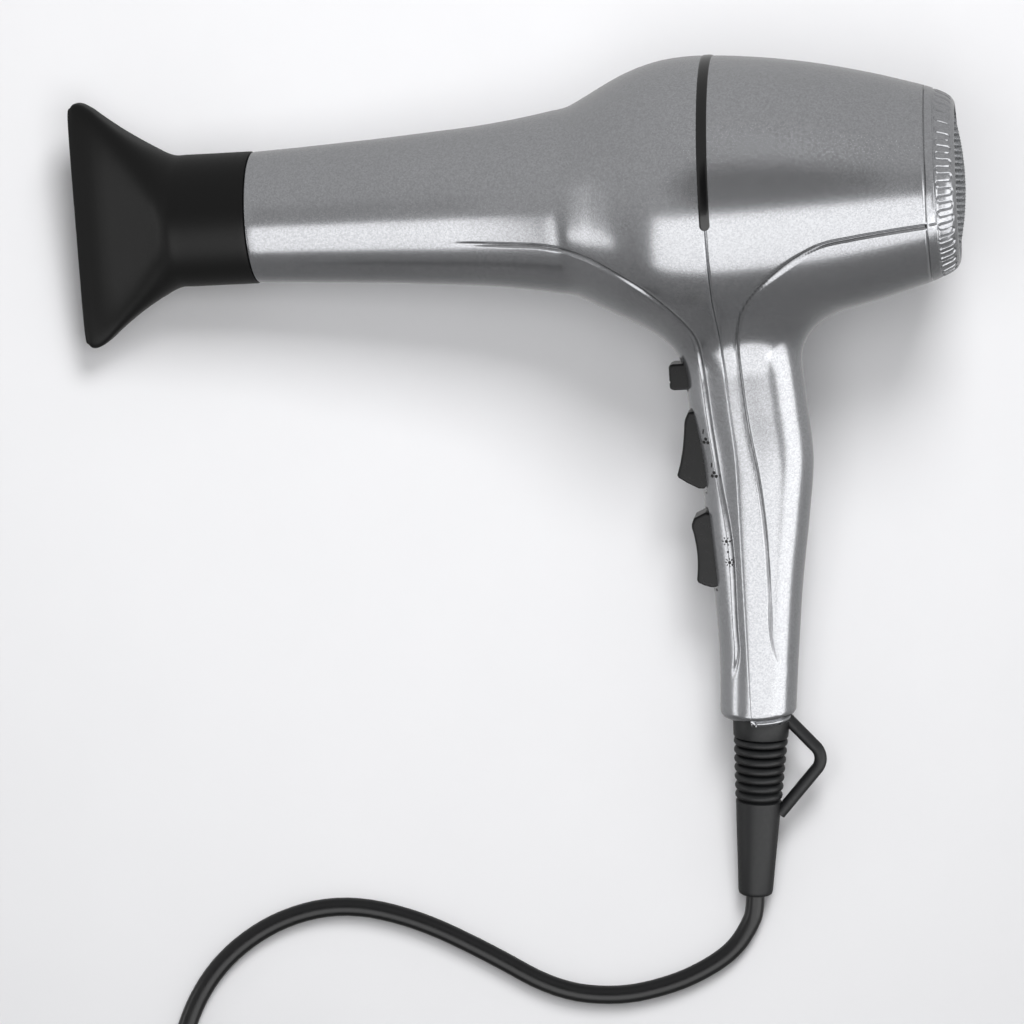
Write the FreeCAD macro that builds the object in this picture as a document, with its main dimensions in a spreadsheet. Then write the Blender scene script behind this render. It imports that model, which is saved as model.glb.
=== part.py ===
import FreeCAD, Part
import math
import os
import Sketcher
from FreeCAD import Placement, Rotation, Vector

# A hair dryer, in millimetres. Every piece is drawn in the dryer's own frame: X runs along the
# barrel from the nozzle to the rear cap, Y runs up the handle from its end to the barrel, and the
# barrel's axis is the X axis. One placement then lays the whole dryer on its side on the floor,
# where it rests on the nozzle's lip, the widest part of the body and the end of the strain relief.

SIZES = {
    # how the dryer lies
    "nose_down": 7.78, "handle_down": 9.94,
    "lay_x": 67.3, "lay_y": 103.74, "lay_z": 50.09,
    # outer shells
    "mouth_x": -163.6, "mouth_r": 23.8, "rear_x": 80.9, "rear_r": 35.1, "wall": 2.0,
    "body_r": 49.8, "body_x": -2.6, "waist_x": -47.4, "waist_r": 34.1,
    "spigot_x": -175.0, "spigot_r": 21.6, "spigot_bore": 19.8, "cap_bore": 33.0, "flange_x": 66.0,
    "seam_x": 4.2, "handle_seam_x": 8.0, "handle_end_y": -192.5, "joint_fillet": 11.0,
    "band_width": 3.8, "band_bed": 48.3, "band_top": 50.0, "band_angle": 198.0,
    # concentrator nozzle
    "nozzle_r": 24.1, "nozzle_bore": 21.66, "nozzle_start_x": -164.0, "collar_end_x": -193.7,
    "lip_x": -229.4, "lip_half": 45.0, "lip_thick": 6.0, "nozzle_wall": 1.4,
    # rear cap
    "cap_x": 81.3, "cap_r": 34.9, "cap_skirt_r": 32.92, "cap_skirt_x": 72.0, "cap_front_x": 91.4,
    "cap_mouth_r": 27.8, "mesh_apex_x": 94.0, "mesh_r": 27.6, "mesh_thick": 1.0,
    "mesh_sphere": 97.2, "frame_r": 29.6, "frame_bore": 25.0,
    # motor and fan
    "motor_x": -8.0,
    "duct_r": 36.4, "duct_bore": 34.6, "duct_front_x": -34.0, "duct_rear_x": 62.0,
    "hub_bore": 25.5, "hub_r": 27.0, "vane_thick": 1.6, "stator_r": 25.4, "stator_bore": 14.3,
    "armature_r": 13.8, "shaft_r": 2.5,
    "shaft_bore": 2.55, "commutator_r": 7.5, "bearing_r": 8.0, "impeller_r": 33.0,
    "impeller_hub": 12.0, "impeller_depth": 14.0, "blade_thick": 1.4,
    # heater
    "mica_half": 18.4, "mica_thick": 0.8, "heater_front_x": -148.0, "heater_rear_x": -64.0,
    "heating_r": 19.0, "heating_wire": 0.5, "heating_pitch": 8.0, "sleeve_r": 21.3,
    "sleeve_bore": 20.7,
    # switches and button
    "speed_y": -92.0, "speed_pivot_x": 1.0, "heat_y": -129.0, "heat_pivot_x": 3.7,
    "rocker_width": 13.2, "rocker_window": 14.0, "pin_r": 1.0, "pin_bore": 1.05,
    "pin_length": 16.6, "switch_width": 13.0, "button_y": -65.2, "button_high": 9.6,
    "button_wide": 10.0, "button_front_x": -15.6, "button_gap": 0.3,
    "spring_r": 2.3, "spring_wire": 0.3, "spring_length": 8.0,
    # strain relief and hanging loop, along their own axis from the handle's end
    "relief_x": 10.9, "relief_tilt": 4.94, "relief_bore": 3.5, "relief_length": 67.9,
    "collar_r": 10.5, "collar_end": 8.0, "ring_pitch": 3.36, "ring_thick": 2.63,
    "first_ring_r": 9.95, "last_ring_r": 8.75, "ring_core_r": 7.2, "sleeve_top_r": 8.4,
    "sleeve_end_r": 6.35, "loop_offset": 16.0, "loop_r": 6.2, "loop_centre": 15.9,
    "loop_strap": 2.3, "loop_high": 46.5, "loop_low": 36.5, "upper_arm": 15.0, "lower_arm": 22.0,
    # cord and plug
    "cord_d": 6.9, "coil_r": 38.5, "coil_x": -102.5, "coil_y": -262.0, "coil_half": 10.4,
    "coil_high": 20.7, "plug_x": -6.0, "plug_y": -299.5, "plug_r": 17.5, "plug_neck": 24.0,
    "plug_thick": 16.0, "plug_pin_r": 2.4, "plug_pin_out": 19.0, "plug_pin_apart": 19.0,
}

doc = FreeCAD.newDocument("hair_dryer")
sheet = doc.addObject("Spreadsheet::Sheet", "Sizes")
for row, (alias, number) in enumerate(SIZES.items(), start=1):
    sheet.set(f"A{row}", alias)
    sheet.set(f"B{row}", str(number))
    sheet.setAlias(f"B{row}", alias)
doc.recompute()


class Size:
    """A length from the sheet: its number, and the expression that binds a feature to it."""

    def __init__(self, value, text):
        self.value = value
        self.text = text

    def joined(self, sign, other, value):
        return Size(value, f"({self.text} {sign} {text_of(other)})")

    def __add__(self, other):
        return self.joined("+", other, self.value + value_of(other))

    def __sub__(self, other):
        return self.joined("-", other, self.value - value_of(other))

    def __mul__(self, other):
        return self.joined("*", other, self.value * value_of(other))

    def __neg__(self):
        return self * -1

    def __rsub__(self, other):
        return -self + other


def value_of(size):
    return size.value if isinstance(size, Size) else float(size)


def text_of(size):
    return size.text if isinstance(size, Size) else str(size)


def S(alias):
    """The named size from the sheet."""
    return Size(SIZES[alias], f"Sizes.{alias}")


def at(x, y, z=0):
    return Vector(value_of(x), value_of(y), value_of(z))


LAY = Placement(
    at(S("lay_x"), S("lay_y"), S("lay_z")),
    Rotation(Vector(0, 1, 0), -SIZES["nose_down"]) * Rotation(Vector(1, 0, 0), SIZES["handle_down"]),
)
nodes = []


def node(piece, name):
    """Names a finished sub-part and lays it down with the rest of the dryer."""
    piece.Label = name
    piece.Placement = LAY.multiply(piece.Placement)
    nodes.append(piece)
    return piece


def floor_node(piece, name):
    """Names a finished sub-part that is already drawn on the floor."""
    piece.Label = name
    nodes.append(piece)
    return piece


def bind(piece, **sizes):
    for field, size in sizes.items():
        setattr(piece, field, value_of(size))
        if isinstance(size, Size):
            piece.setExpression(field, size.text)
    return piece


# Building blocks


def outline_sketch(body, name, points, role="XY_Plane"):
    """A closed outline whose every corner is held by named, bound distances from the origin."""
    sketch = body.newObject("Sketcher::SketchObject", name)
    plane = [item for item in body.Origin.OriginFeatures if item.Role == role][0]
    sketch.AttachmentSupport = (plane, [""])
    sketch.MapMode = "FlatFace"
    corners = [at(*point) for point in points]
    count = len(corners)
    sides = [Part.LineSegment(corners[i], corners[(i + 1) % count]) for i in range(count)]
    sketch.addGeometry(sides, False)
    for i in range(count):
        sketch.addConstraint(Sketcher.Constraint("Coincident", i, 2, (i + 1) % count, 1))
    for i, point in enumerate(points):
        for kind, size in zip("XY", point):
            rule = Sketcher.Constraint(f"Distance{kind}", -1, 1, i, 1, value_of(size))
            sketch.renameConstraint(sketch.addConstraint(rule), f"{kind}{i}")
            if isinstance(size, Size):
                sketch.setExpression(f"Constraints.{kind}{i}", size.text)
    return sketch


def turned(name, points, angle=360, across="H_Axis"):
    """A body of revolution: an outline of (along, radius) corners turned about its own axis."""
    body = doc.addObject("PartDesign::Body", name)
    sketch = outline_sketch(body, name + "_outline", points)
    turn = body.newObject("PartDesign::Revolution", name + "_turn")
    turn.Profile = sketch
    turn.ReferenceAxis = (sketch, [across])
    bind(turn, Angle=angle)
    turn.Midplane = value_of(angle) < 360
    return body


def ring(name, start, end, outer, inner):
    return turned(name, [(start, inner), (end, inner), (end, outer), (start, outer)])


def slab(name, points, width):
    """A flat piece: an outline in the dryer's middle plane, thickened equally to both sides."""
    body = doc.addObject("PartDesign::Body", name)
    sketch = outline_sketch(body, name + "_outline", points)
    pad = body.newObject("PartDesign::Pad", name + "_pad")
    pad.Profile = sketch
    pad.SideType = "Symmetric"
    bind(pad, Length=width)
    return body


def block(name, low, high):
    box = doc.addObject("Part::Box", name)
    bind(box, Length=high[0] - low[0], Width=high[1] - low[1], Height=high[2] - low[2])
    box.Placement = Placement(at(*low), Rotation())
    return box


def rod(name, radius, length, base, direction):
    cylinder = doc.addObject("Part::Cylinder", name)
    bind(cylinder, Radius=radius, Height=length)
    cylinder.Placement = Placement(at(*base), Rotation(Vector(0, 0, 1), Vector(*direction)))
    return cylinder


def cut(name, base, *tools):
    piece = doc.addObject("Part::Cut", name)
    piece.Base = base
    piece.Tool = tools[0] if len(tools) == 1 else fuse(name + "_tools", *tools)
    return piece


def fuse(name, *shapes):
    piece = doc.addObject("Part::MultiFuse", name)
    piece.Shapes = list(shapes)
    return piece


def common(name, *shapes):
    piece = doc.addObject("Part::MultiCommon", name)
    piece.Shapes = list(shapes)
    piece.Refine = False
    return piece


def group(name, pieces):
    """Several separate solids in one node."""
    piece = doc.addObject("Part::Compound", name)
    piece.Links = list(pieces)
    return piece


def fixed_shape(name, shape):
    piece = doc.addObject("Part::Feature", name)
    piece.Shape = shape
    return piece


# Housing: a revolved barrel and body, a lofted handle, and a fillet where they meet

BARREL_OUTLINE = [
    (S("mouth_x"), S("mouth_r")), (-131.9, 25.4), (-98.4, 27.6), (-69.0, 30.4), (-53.6, 32.9),
    (S("waist_x"), S("waist_r")), (-42.8, 36.3), (-35.6, 40.2), (-27.2, 44.8), (-15.5, 48.3),
    (S("body_x"), S("body_r")), (19.4, 48.5), (41.5, 45.2), (63.3, 40.2), (S("rear_x"), S("rear_r")),
]
# each station down the handle: y, front edge x, back edge x, half thickness
HANDLE_STATIONS = [
    (-20.0, -11.0, 30.6, 17.5), (-53.5, -10.4, 31.8, 17.2), (-76.5, -9.3, 33.6, 17.0),
    (-97.0, -6.4, 34.9, 16.8), (-117.5, -5.4, 32.6, 16.2), (-143.0, -3.9, 28.8, 15.2),
    (-168.0, -3.2, 26.0, 14.3), (S("handle_end_y"), -4.2, 23.6, 13.5),
]


def barrel_solid(name, inset):
    """The barrel and body turned about X from a smooth outline drawn inset inside the skin."""
    curve = Part.BSplineCurve()
    points = [at(x, value_of(r) - inset) for x, r in BARREL_OUTLINE]
    curve.interpolate(points)
    corners = [points[-1], Vector(points[-1].x, 0, 0), Vector(points[0].x, 0, 0), points[0]]
    sides = [Part.makeLine(a, b) for a, b in zip(corners, corners[1:])]
    face = Part.Face(Part.Wire([curve.toShape()] + sides))
    return fixed_shape(name, face.revolve(Vector(), Vector(1, 0, 0), 360))


def handle_solid(name, inset):
    """The handle lofted through one ellipse for each station, drawn inset inside the skin."""
    sections = []
    for index, (y, front, back, half) in enumerate(HANDLE_STATIONS):
        y = value_of(y) + (inset if index == len(HANDLE_STATIONS) - 1 else 0)
        ellipse = doc.addObject("Part::Ellipse", f"{name}_station_{index}")
        ellipse.MajorRadius = (back - front) / 2 - inset
        ellipse.MinorRadius = half - inset
        ellipse.Placement = Placement(at((front + back) / 2, y), Rotation(Vector(1, 0, 0), 90))
        sections.append(ellipse)
    loft = doc.addObject("Part::Loft", name)
    loft.Sections = sections
    loft.Solid = True
    return loft


barrel = barrel_solid("barrel_blank", 0)
handle = handle_solid("handle_blank", 0)
blank = fuse("housing_blank", barrel, handle)
doc.recompute()


def is_neck(edge):
    """The closed curve where the handle leaves the body."""
    box = edge.BoundBox
    return box.YMax < -30 and box.YMin > -70 and box.ZLength > 20


neck = [i for i, edge in enumerate(blank.Shape.Edges, start=1) if is_neck(edge)]
skin = doc.addObject("Part::Fillet", "housing_skin")
skin.Base = blank
skin.Edges = [(i, SIZES["joint_fillet"], SIZES["joint_fillet"]) for i in neck]

spigot = ring("spigot", S("spigot_x"), S("mouth_x") + 2, S("spigot_r"), S("spigot_bore"))
cavity_barrel = barrel_solid("cavity_barrel", SIZES["wall"])
cavity_limit = rod("cavity_limit", 60, S("flange_x") - S("mouth_x") - 4, (S("mouth_x") + 4, 0, 0), (1, 0, 0))
cavity_body = common("cavity_body", cavity_barrel, cavity_limit)
cavity_handle = handle_solid("cavity_handle", SIZES["wall"])
mouth_bore = rod("mouth_bore", S("spigot_bore"), 20, (S("spigot_x") - 1, 0, 0), (1, 0, 0))
rear_bore = rod("rear_bore", S("cap_bore"), 30, (S("flange_x") - 2, 0, 0), (1, 0, 0))
relief_hole = rod("relief_hole", 9.2, 8, (S("relief_x"), S("handle_end_y") - 3, 0), (0, 1, 0))


def window(name, y_low, y_high, width):
    """A cutter for an opening through the front wall of the handle."""
    half = width * 0.5
    return block(name, (-25, y_low, -half), (3, y_high, half))


speed_window = window("speed_window", -108.1, -77.1, S("rocker_window"))
heat_window = window("heat_window", -144.2, -113.8, S("rocker_window"))
button_half = S("button_high") * 0.5 + S("button_gap")
button_window = window("button_window", S("button_y") - button_half, S("button_y") + button_half,
                       S("button_wide") + S("button_gap") * 2)
band_start = S("seam_x") - S("band_width") * 0.5
band_end = S("seam_x") + S("band_width") * 0.5
accent_band = turned("accent_band", [(band_start, S("band_bed")), (band_end, S("band_bed")),
                                     (band_end, S("band_top")), (band_start, S("band_top"))],
                     S("band_angle"))
band_bed = turned("band_bed", [(band_start, S("band_bed")), (band_end, S("band_bed")),
                               (band_end, 52), (band_start, 52)], S("band_angle"))
walls = cut("housing_walls", fuse("housing_outside", skin, spigot),
            fuse("cavity", cavity_body, cavity_handle, mouth_bore, rear_bore, relief_hole),
            speed_window, heat_window, button_window, band_bed)
SEAM = [(S("seam_x"), 60), (S("seam_x"), -48), (S("handle_seam_x"), -72), (S("handle_seam_x") + 2, -200)]
front_side = slab("front_side", SEAM + [(-240, -200), (-240, 60)], 130)
rear_side = slab("rear_side", SEAM + [(110, -200), (110, 60)], 130)
node(common("front_half", walls, front_side), "front_shell")
node(common("rear_half", walls, rear_side), "rear_shell")
node(accent_band, "accent_band")

# Concentrator nozzle: a round collar that spreads into a flat fan with a wide slot


def fan_section(x, half_width, half_thick):
    """A closed rounded section: a circle at the collar, and a flatter, squarer oval at the lip."""
    squareness = 2 + 4 * (1 - half_thick / half_width)
    points = []
    for step in range(48):
        angle = 2 * math.pi * step / 48
        across = abs(math.cos(angle)) ** (2 / squareness) * math.copysign(1, math.cos(angle))
        thick = abs(math.sin(angle)) ** (2 / squareness) * math.copysign(1, math.sin(angle))
        points.append(Vector(x, half_width * across, half_thick * thick))
    curve = Part.BSplineCurve()
    curve.interpolate(points, PeriodicFlag=True)
    return Part.Wire(curve.toShape())


# each station along the flare: x, half width and half thickness
FLARE = [(S("collar_end_x"), S("nozzle_r"), S("nozzle_r")), (-199.0, 26.5, 21.0), (-206.0, 30.8, 16.5),
         (-212.5, 35.3, 12.2), (-218.0, 39.5, 9.2), (-223.5, 43.5, 7.0),
         (S("lip_x"), S("lip_half"), S("lip_thick"))]


def flare(name, inset, overrun):
    wires = [fan_section(value_of(x), value_of(w) - inset, value_of(t) - inset) for x, w, t in FLARE]
    if overrun:
        last = FLARE[-1]
        wires.append(fan_section(value_of(last[0]) - 1, value_of(last[1]) - inset, value_of(last[2]) - inset))
    return fixed_shape(name, Part.makeLoft(wires, True, False))


collar = rod("nozzle_collar", S("nozzle_r"), S("nozzle_start_x") - S("collar_end_x"),
             (S("collar_end_x"), 0, 0), (1, 0, 0))
collar_bore = rod("collar_bore", S("nozzle_bore"), 40, (S("collar_end_x") - 0.3, 0, 0), (1, 0, 0))
nozzle = cut("nozzle_cut", fuse("nozzle_blank", collar, flare("flare_skin", 0, False)),
             collar_bore, flare("flare_hollow", SIZES["nozzle_wall"], True))
node(nozzle, "concentrator_nozzle")

# Rear cap: a twist-off ring with a woven filter behind it

cap_ring = turned("rear_cap_ring", [
    (S("cap_skirt_x"), S("cap_skirt_r") - 2.2), (85.8, S("cap_skirt_r") - 2.2), (85.8, S("frame_r") + 0.1),
    (89.0, S("frame_r") + 0.1), (89.0, S("cap_mouth_r")), (S("cap_front_x"), S("cap_mouth_r")),
    (90.8, 29.6), (88.9, 31.6), (84.3, 33.7), (S("cap_x"), S("cap_r")), (S("cap_x"), S("cap_skirt_r")),
    (S("cap_skirt_x"), S("cap_skirt_r")),
])
node(cap_ring, "rear_cap_ring")
node(ring("filter_frame", 85.9, 88.9, S("frame_r"), S("frame_bore")), "filter_frame")
dome_centre = (S("mesh_apex_x") - S("mesh_sphere"), 0, 0)


def ball(name, radius):
    sphere = doc.addObject("Part::Sphere", name)
    bind(sphere, Radius=radius)
    sphere.Placement = Placement(at(*dome_centre), Rotation())
    return sphere


dome = cut("dome_shell", ball("dome_outside", S("mesh_sphere")),
           ball("dome_inside", S("mesh_sphere") - S("mesh_thick")))
node(common("dome_trimmed", dome, rod("dome_edge", S("mesh_r"), 20, (85, 0, 0), (1, 0, 0))), "filter_mesh")

# Outlet grille and heater


def cross_plates(name, start, end, reach, thick, count):
    """Flat plates that cross on the X axis, evenly turned about it."""
    plates = []
    for index in range(count):
        half = value_of(thick) / 2
        plate = block(f"{name}_{index}", (start, -reach, -half), (end, reach, half))
        turn = Placement(Vector(), Rotation(Vector(1, 0, 0), 180 * index / count))
        plate.Placement = turn.multiply(plate.Placement)
        plates.append(plate)
    return plates


grille_rim = ring("grille_rim", -174.4, -168.0, S("spigot_bore") - 0.1, S("spigot_bore") - 1.5)
grille_ring = ring("grille_ring", -173.8, -169.0, 10.4, 9.2)
grille_bars = cross_plates("grille_bar", -173.8, -169.0, 18.8, 1.2, 4)
node(fuse("grille", grille_rim, grille_ring, *grille_bars), "outlet_grille")
mica = cross_plates("mica_plate", S("heater_front_x"), S("heater_rear_x"), S("mica_half"), S("mica_thick"), 3)
node(fuse("mica_cross", *mica), "heater_frame")


def wound_wire(name, radius, pitch, length, wire, start):
    """A wire wound about an axis parallel to X, from a helix swept with a round section."""
    helix = Part.makeHelix(value_of(pitch), value_of(length), value_of(radius))
    section = Part.Wire(Part.makeCircle(value_of(wire), at(radius, 0), Vector(0, 1, 0)))
    solid = Part.Wire(helix.Edges).makePipeShell([section], True, True)
    piece = fixed_shape(name, solid)
    piece.Placement = Placement(at(*start), Rotation(Vector(0, 1, 0), 90))
    return piece


node(wound_wire("winding", S("heating_r"), S("heating_pitch"), 64, S("heating_wire"), (-142, 0, 0)),
     "heating_coil")
node(ring("sleeve", -152, -62, S("sleeve_r"), S("sleeve_bore")), "heater_sleeve")
node(block("thermostat_body", (-78, 5.5, 0.45), (-68, 12.5, 4.5)), "thermostat")
node(rod("fuse_body", 1.8, 11, (-92, -6.5, 2.3), (1, 0, 0)), "thermal_fuse")

# Fan duct with guide vanes, and the motor inside it

duct_wall = ring("duct_wall", S("duct_front_x"), S("duct_rear_x"), S("duct_r"), S("duct_bore"))
MOTOR = S("motor_x")
duct_hub = ring("duct_hub", MOTOR - 10, MOTOR + 32, S("hub_r"), S("hub_bore"))
vanes = []
for index in range(7):
    half = SIZES["vane_thick"] / 2
    vane = block(f"guide_vane_{index}", (MOTOR, S("hub_r") - 0.4, -half),
                 (MOTOR + 22, S("duct_bore") + 0.4, half))
    vane.Placement = Placement(Vector(), Rotation(Vector(1, 0, 0), 360 * index / 7)).multiply(vane.Placement)
    vanes.append(vane)
node(fuse("duct", duct_wall, duct_hub, *vanes), "fan_duct")
node(group("duct_rings", [ring("front_damper", -33, -29.5, 38.4, S("duct_r") + 0.05),
                          ring("rear_damper", 56, 59.5, 39.0, S("duct_r") + 0.05)]), "duct_dampers")

core = ring("core_blank", MOTOR - 8, MOTOR + 22, S("stator_r"), S("stator_bore"))
slots = [block(f"coil_slot_{i}", (MOTOR - 10, low, side), (MOTOR + 24, low + 4.6, side + 5.2))
         for i, (low, side) in enumerate([(15, 8), (15, -13.2), (-19.6, 8), (-19.6, -13.2)])]
node(cut("stator_core", core, *slots), "motor_stator")


def field_coil(name, low):
    """One flat field coil: a rectangular loop of wire round a pole."""
    outside = block(name + "_outside", (MOTOR - 16, low, -13), (MOTOR + 30, low + 3.6, 13))
    inside = block(name + "_inside", (MOTOR - 8.9, low - 1, -8.2), (MOTOR + 22.9, low + 5, 8.2))
    return cut(name, outside, inside)


node(group("coils", [field_coil("upper_coil", 15.4), field_coil("lower_coil", -19.0)]), "field_coils")
rear_bracket = turned("rear_bracket", [
    (MOTOR + 22.1, 24.4), (MOTOR + 30.5, 24.4), (MOTOR + 30.5, S("bearing_r") + 0.05),
    (MOTOR + 36.2, S("bearing_r") + 0.05), (MOTOR + 36.2, 10), (MOTOR + 32, 10),
    (MOTOR + 32, S("stator_r")), (MOTOR + 22.1, S("stator_r"))])
front_bracket = turned("front_bracket", [
    (MOTOR - 8.1, 24.4), (MOTOR - 29, 24.4), (MOTOR - 29, S("bearing_r") + 0.05),
    (MOTOR - 34.7, S("bearing_r") + 0.05), (MOTOR - 34.7, 10), (MOTOR - 30.5, 10),
    (MOTOR - 30.5, S("stator_r")), (MOTOR - 8.1, S("stator_r"))])
node(rear_bracket, "motor_rear_bracket")
node(front_bracket, "motor_front_bracket")
bearings = [ring("front_bearing", MOTOR - 34.2, MOTOR - 29.2, S("bearing_r"), S("shaft_bore")),
            ring("rear_bearing", MOTOR + 31, MOTOR + 36, S("bearing_r"), S("shaft_bore"))]
node(group("bearing_pair", bearings), "motor_bearings")


def brush_pair(name, half, start, end):
    """A pair of square blocks, one on each side of the commutator."""
    centre = MOTOR - 21
    upper = block(name + "_upper", (centre - half, -half, start), (centre + half, half, end))
    lower = block(name + "_lower", (centre - half, -half, -end), (centre + half, half, -start))
    return group(name, [upper, lower])


holder_bodies = brush_pair("holder_bodies", 3.2, 9.5, 21)
node(cut("holders", holder_bodies, block("holder_bore", (MOTOR - 23.6, -2.6, -30), (MOTOR - 18.4, 2.6, 30))),
     "brush_holders")
node(brush_pair("brushes", 2.5, 7.7, 19), "carbon_brushes")

# Rotor

node(turned("armature", [
    (MOTOR - 14, S("shaft_bore")), (MOTOR + 28, S("shaft_bore")), (MOTOR + 28, 11), (MOTOR + 22, 11),
    (MOTOR + 22, S("armature_r")), (MOTOR - 8, S("armature_r")), (MOTOR - 8, 11), (MOTOR - 14, 11)]),
     "motor_armature")
node(ring("commutator_drum", MOTOR - 26, MOTOR - 16, S("commutator_r"), S("shaft_bore")), "commutator")
node(rod("shaft", S("shaft_r"), 94, (MOTOR - 36, 0, 0), (1, 0, 0)), "motor_shaft")

impeller = doc.addObject("PartDesign::Body", "impeller")
impeller_start = MOTOR + 38
impeller_end = impeller_start + S("impeller_depth")
hub_outline = outline_sketch(impeller, "hub_outline", [
    (impeller_start, S("shaft_bore")), (impeller_end, S("shaft_bore")), (impeller_end, 8),
    (impeller_end - 3, 11), (impeller_end - 6, S("impeller_hub")), (impeller_start, S("impeller_hub"))])
hub = impeller.newObject("PartDesign::Revolution", "impeller_hub_turn")
hub.Profile = hub_outline
hub.ReferenceAxis = (hub_outline, ["H_Axis"])
hub.Angle = 360
blade_outline = outline_sketch(impeller, "blade_outline", [
    (impeller_start + 0.5, -6.0), (impeller_start + 0.5 + S("blade_thick"), -6.0),
    (impeller_end - 1, 6.0), (impeller_end - 1 - S("blade_thick"), 6.0)], "XZ_Plane")
blade = impeller.newObject("PartDesign::Pad", "blade_pad")
blade.Profile = blade_outline
blade.Reversed = True
bind(blade, Length=S("impeller_r"))
doc.recompute()
blades = impeller.newObject("PartDesign::PolarPattern", "blade_pattern")
blades.Originals = [blade]
blades.Axis = (hub_outline, ["H_Axis"])
blades.Angle = 360
blades.Occurrences = 9
impeller.Tip = blades
impeller_bored = cut("impeller_bored", impeller,
                     rod("impeller_bore", S("shaft_bore"), 30, (impeller_start - 5, 0, 0), (1, 0, 0)))
node(impeller_bored, "fan_impeller")
node(ring("nut", impeller_end + 0.1, impeller_end + 4, 4.5, S("shaft_bore")), "fan_nut")

# Rockers, their switches and the cool-air button

SPEED_ROCKER = [
    (-9.3, -78.2), (-10.6, -79.2), (-10.9, -85.0), (-12.0, -91.8), (-14.1, -99.8), (-10.5, -103.5),
    (-6.7, -106.2), (-3.2, -104.8), (-2.6, -97.4), (3.0, -94.6), (3.0, -89.4), (-2.6, -86.6), (-3.1, -78.6)]
HEAT_ROCKER = [
    (-6.0, -115.3), (-9.6, -117.3), (-10.2, -119.8), (-9.1, -124.6), (-8.6, -130.5), (-8.9, -135.0),
    (-9.4, -139.3), (-8.5, -140.3), (-4.2, -142.6), (-0.4, -141.2), (0.2, -134.4), (5.7, -131.6),
    (5.7, -126.4), (0.2, -123.6), (-0.4, -116.4)]


def rocker(name, points, pivot_x, pivot_y):
    body = slab(name + "_body", points, S("rocker_width"))
    pin_hole = rod(name + "_hole", S("pin_bore"), 30, (pivot_x, pivot_y, -15), (0, 0, 1))
    return node(cut(name + "_cut", body, pin_hole), name)


def switch(name, front_x, back_x, pivot_x, pivot_y):
    """A switch body with a cheek at each side that carries the rocker's pin."""
    half = S("switch_width") * 0.5 + 2.1
    case = block(name + "_case", (front_x, pivot_y - 12.5, -half), (back_x, pivot_y + 12.5, half))
    cheeks = []
    for side, low in (("near", 7.1), ("far", -8.6)):
        foot = (pivot_x - 1.9, pivot_y - 3.4, low)
        cheeks.append(block(f"{name}_cheek_{side}", foot, (front_x + 0.1, pivot_y + 3.4, low + 1.5)))
    pin_hole = rod(name + "_hole", S("pin_r") + 0.02, 30, (pivot_x, pivot_y, -15), (0, 0, 1))
    return node(cut(name + "_cut", fuse(name + "_blank", case, *cheeks), pin_hole), name)


rocker("speed_rocker", SPEED_ROCKER, S("speed_pivot_x"), S("speed_y"))
rocker("heat_rocker", HEAT_ROCKER, S("heat_pivot_x"), S("heat_y"))
switch("speed_switch", S("speed_pivot_x") + 3.9, S("speed_pivot_x") + 15, S("speed_pivot_x"), S("speed_y"))
switch("heat_switch", S("heat_pivot_x") + 3.9, S("heat_pivot_x") + 14, S("heat_pivot_x"), S("heat_y"))
half_pin = S("pin_length") * 0.5
pivots = {"speed_pin": (S("speed_pivot_x"), S("speed_y"), -half_pin),
          "heat_pin": (S("heat_pivot_x"), S("heat_y"), -half_pin)}
pivot_pins = [rod(pin, S("pin_r"), S("pin_length"), foot, (0, 0, 1)) for pin, foot in pivots.items()]
node(group("pivot_pins", pivot_pins), "rocker_pins")

button_y = S("button_y")
head_high = S("button_high") * 0.5
head_wide = S("button_wide") * 0.5
button_head = block("button_head", (S("button_front_x"), button_y - head_high, -head_wide),
                    (-2.5, button_y + head_high, head_wide))
button_flange = block("button_flange", (-2.6, button_y - 6, -6.3), (-1.1, button_y + 6, 6.3))
node(fuse("button", button_head, button_flange), "cool_button")
node(wound_wire("button_winding", S("spring_r"), 1.2, S("spring_length") - 1.2, S("spring_wire"),
                (-0.5, button_y, 0)), "button_spring")
cool_case = block("cool_case", (5.4, button_y - 6, -7), (16.4, button_y + 6, 7))
spring_well = rod("spring_well", 3.2, 7, (4, button_y, 0), (1, 0, 0))
node(cut("cool_body", cool_case, spring_well), "cool_switch")

# Wiring inside the handle

node(block("terminals", (4, -162, -6), (18, -152, 6)), "terminal_block")
wires = [rod(f"wire_{index}", 1.1, 117, (22.5, -155, z), (0, 1, 0)) for index, z in enumerate((-5, 0, 5))]
node(group("wires", wires), "wiring_loom")

# Strain relief with its hanging loop, turned about its own axis

relief_turn = Rotation(Vector(0, 0, 1), -SIZES["relief_tilt"])
relief_axis = Placement(at(S("relief_x"), S("handle_end_y")), relief_turn)
bore = S("relief_bore")
collar_end = -S("collar_end")
core_r = S("ring_core_r")
relief_outline = [(bore, 5.4), (9.9, 5.4), (9.9, 3.2), (8.7, 3.2), (8.7, -0.9), (S("collar_r"), -0.9),
                  (S("collar_r") - 0.4, collar_end)]
RINGS = 7
for index in range(RINGS):
    ring_end = collar_end - S("ring_pitch") * (index + 1)
    ring_start = ring_end + S("ring_thick")
    radius = S("first_ring_r") - (S("first_ring_r") - S("last_ring_r")) * (index / (RINGS - 1))
    gap_start = collar_end - S("ring_pitch") * index
    relief_outline += [(core_r, gap_start), (core_r, ring_start), (radius, ring_start), (radius, ring_end)]
sleeve_start = ring_end - 0.7
relief_outline += [(core_r, ring_end), (core_r, sleeve_start), (S("sleeve_top_r"), sleeve_start),
                   (S("sleeve_end_r"), -S("relief_length")), (bore, -S("relief_length"))]
relief_body = turned("relief_body", relief_outline, 360, "V_Axis")
relief_body.Placement = relief_axis


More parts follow.
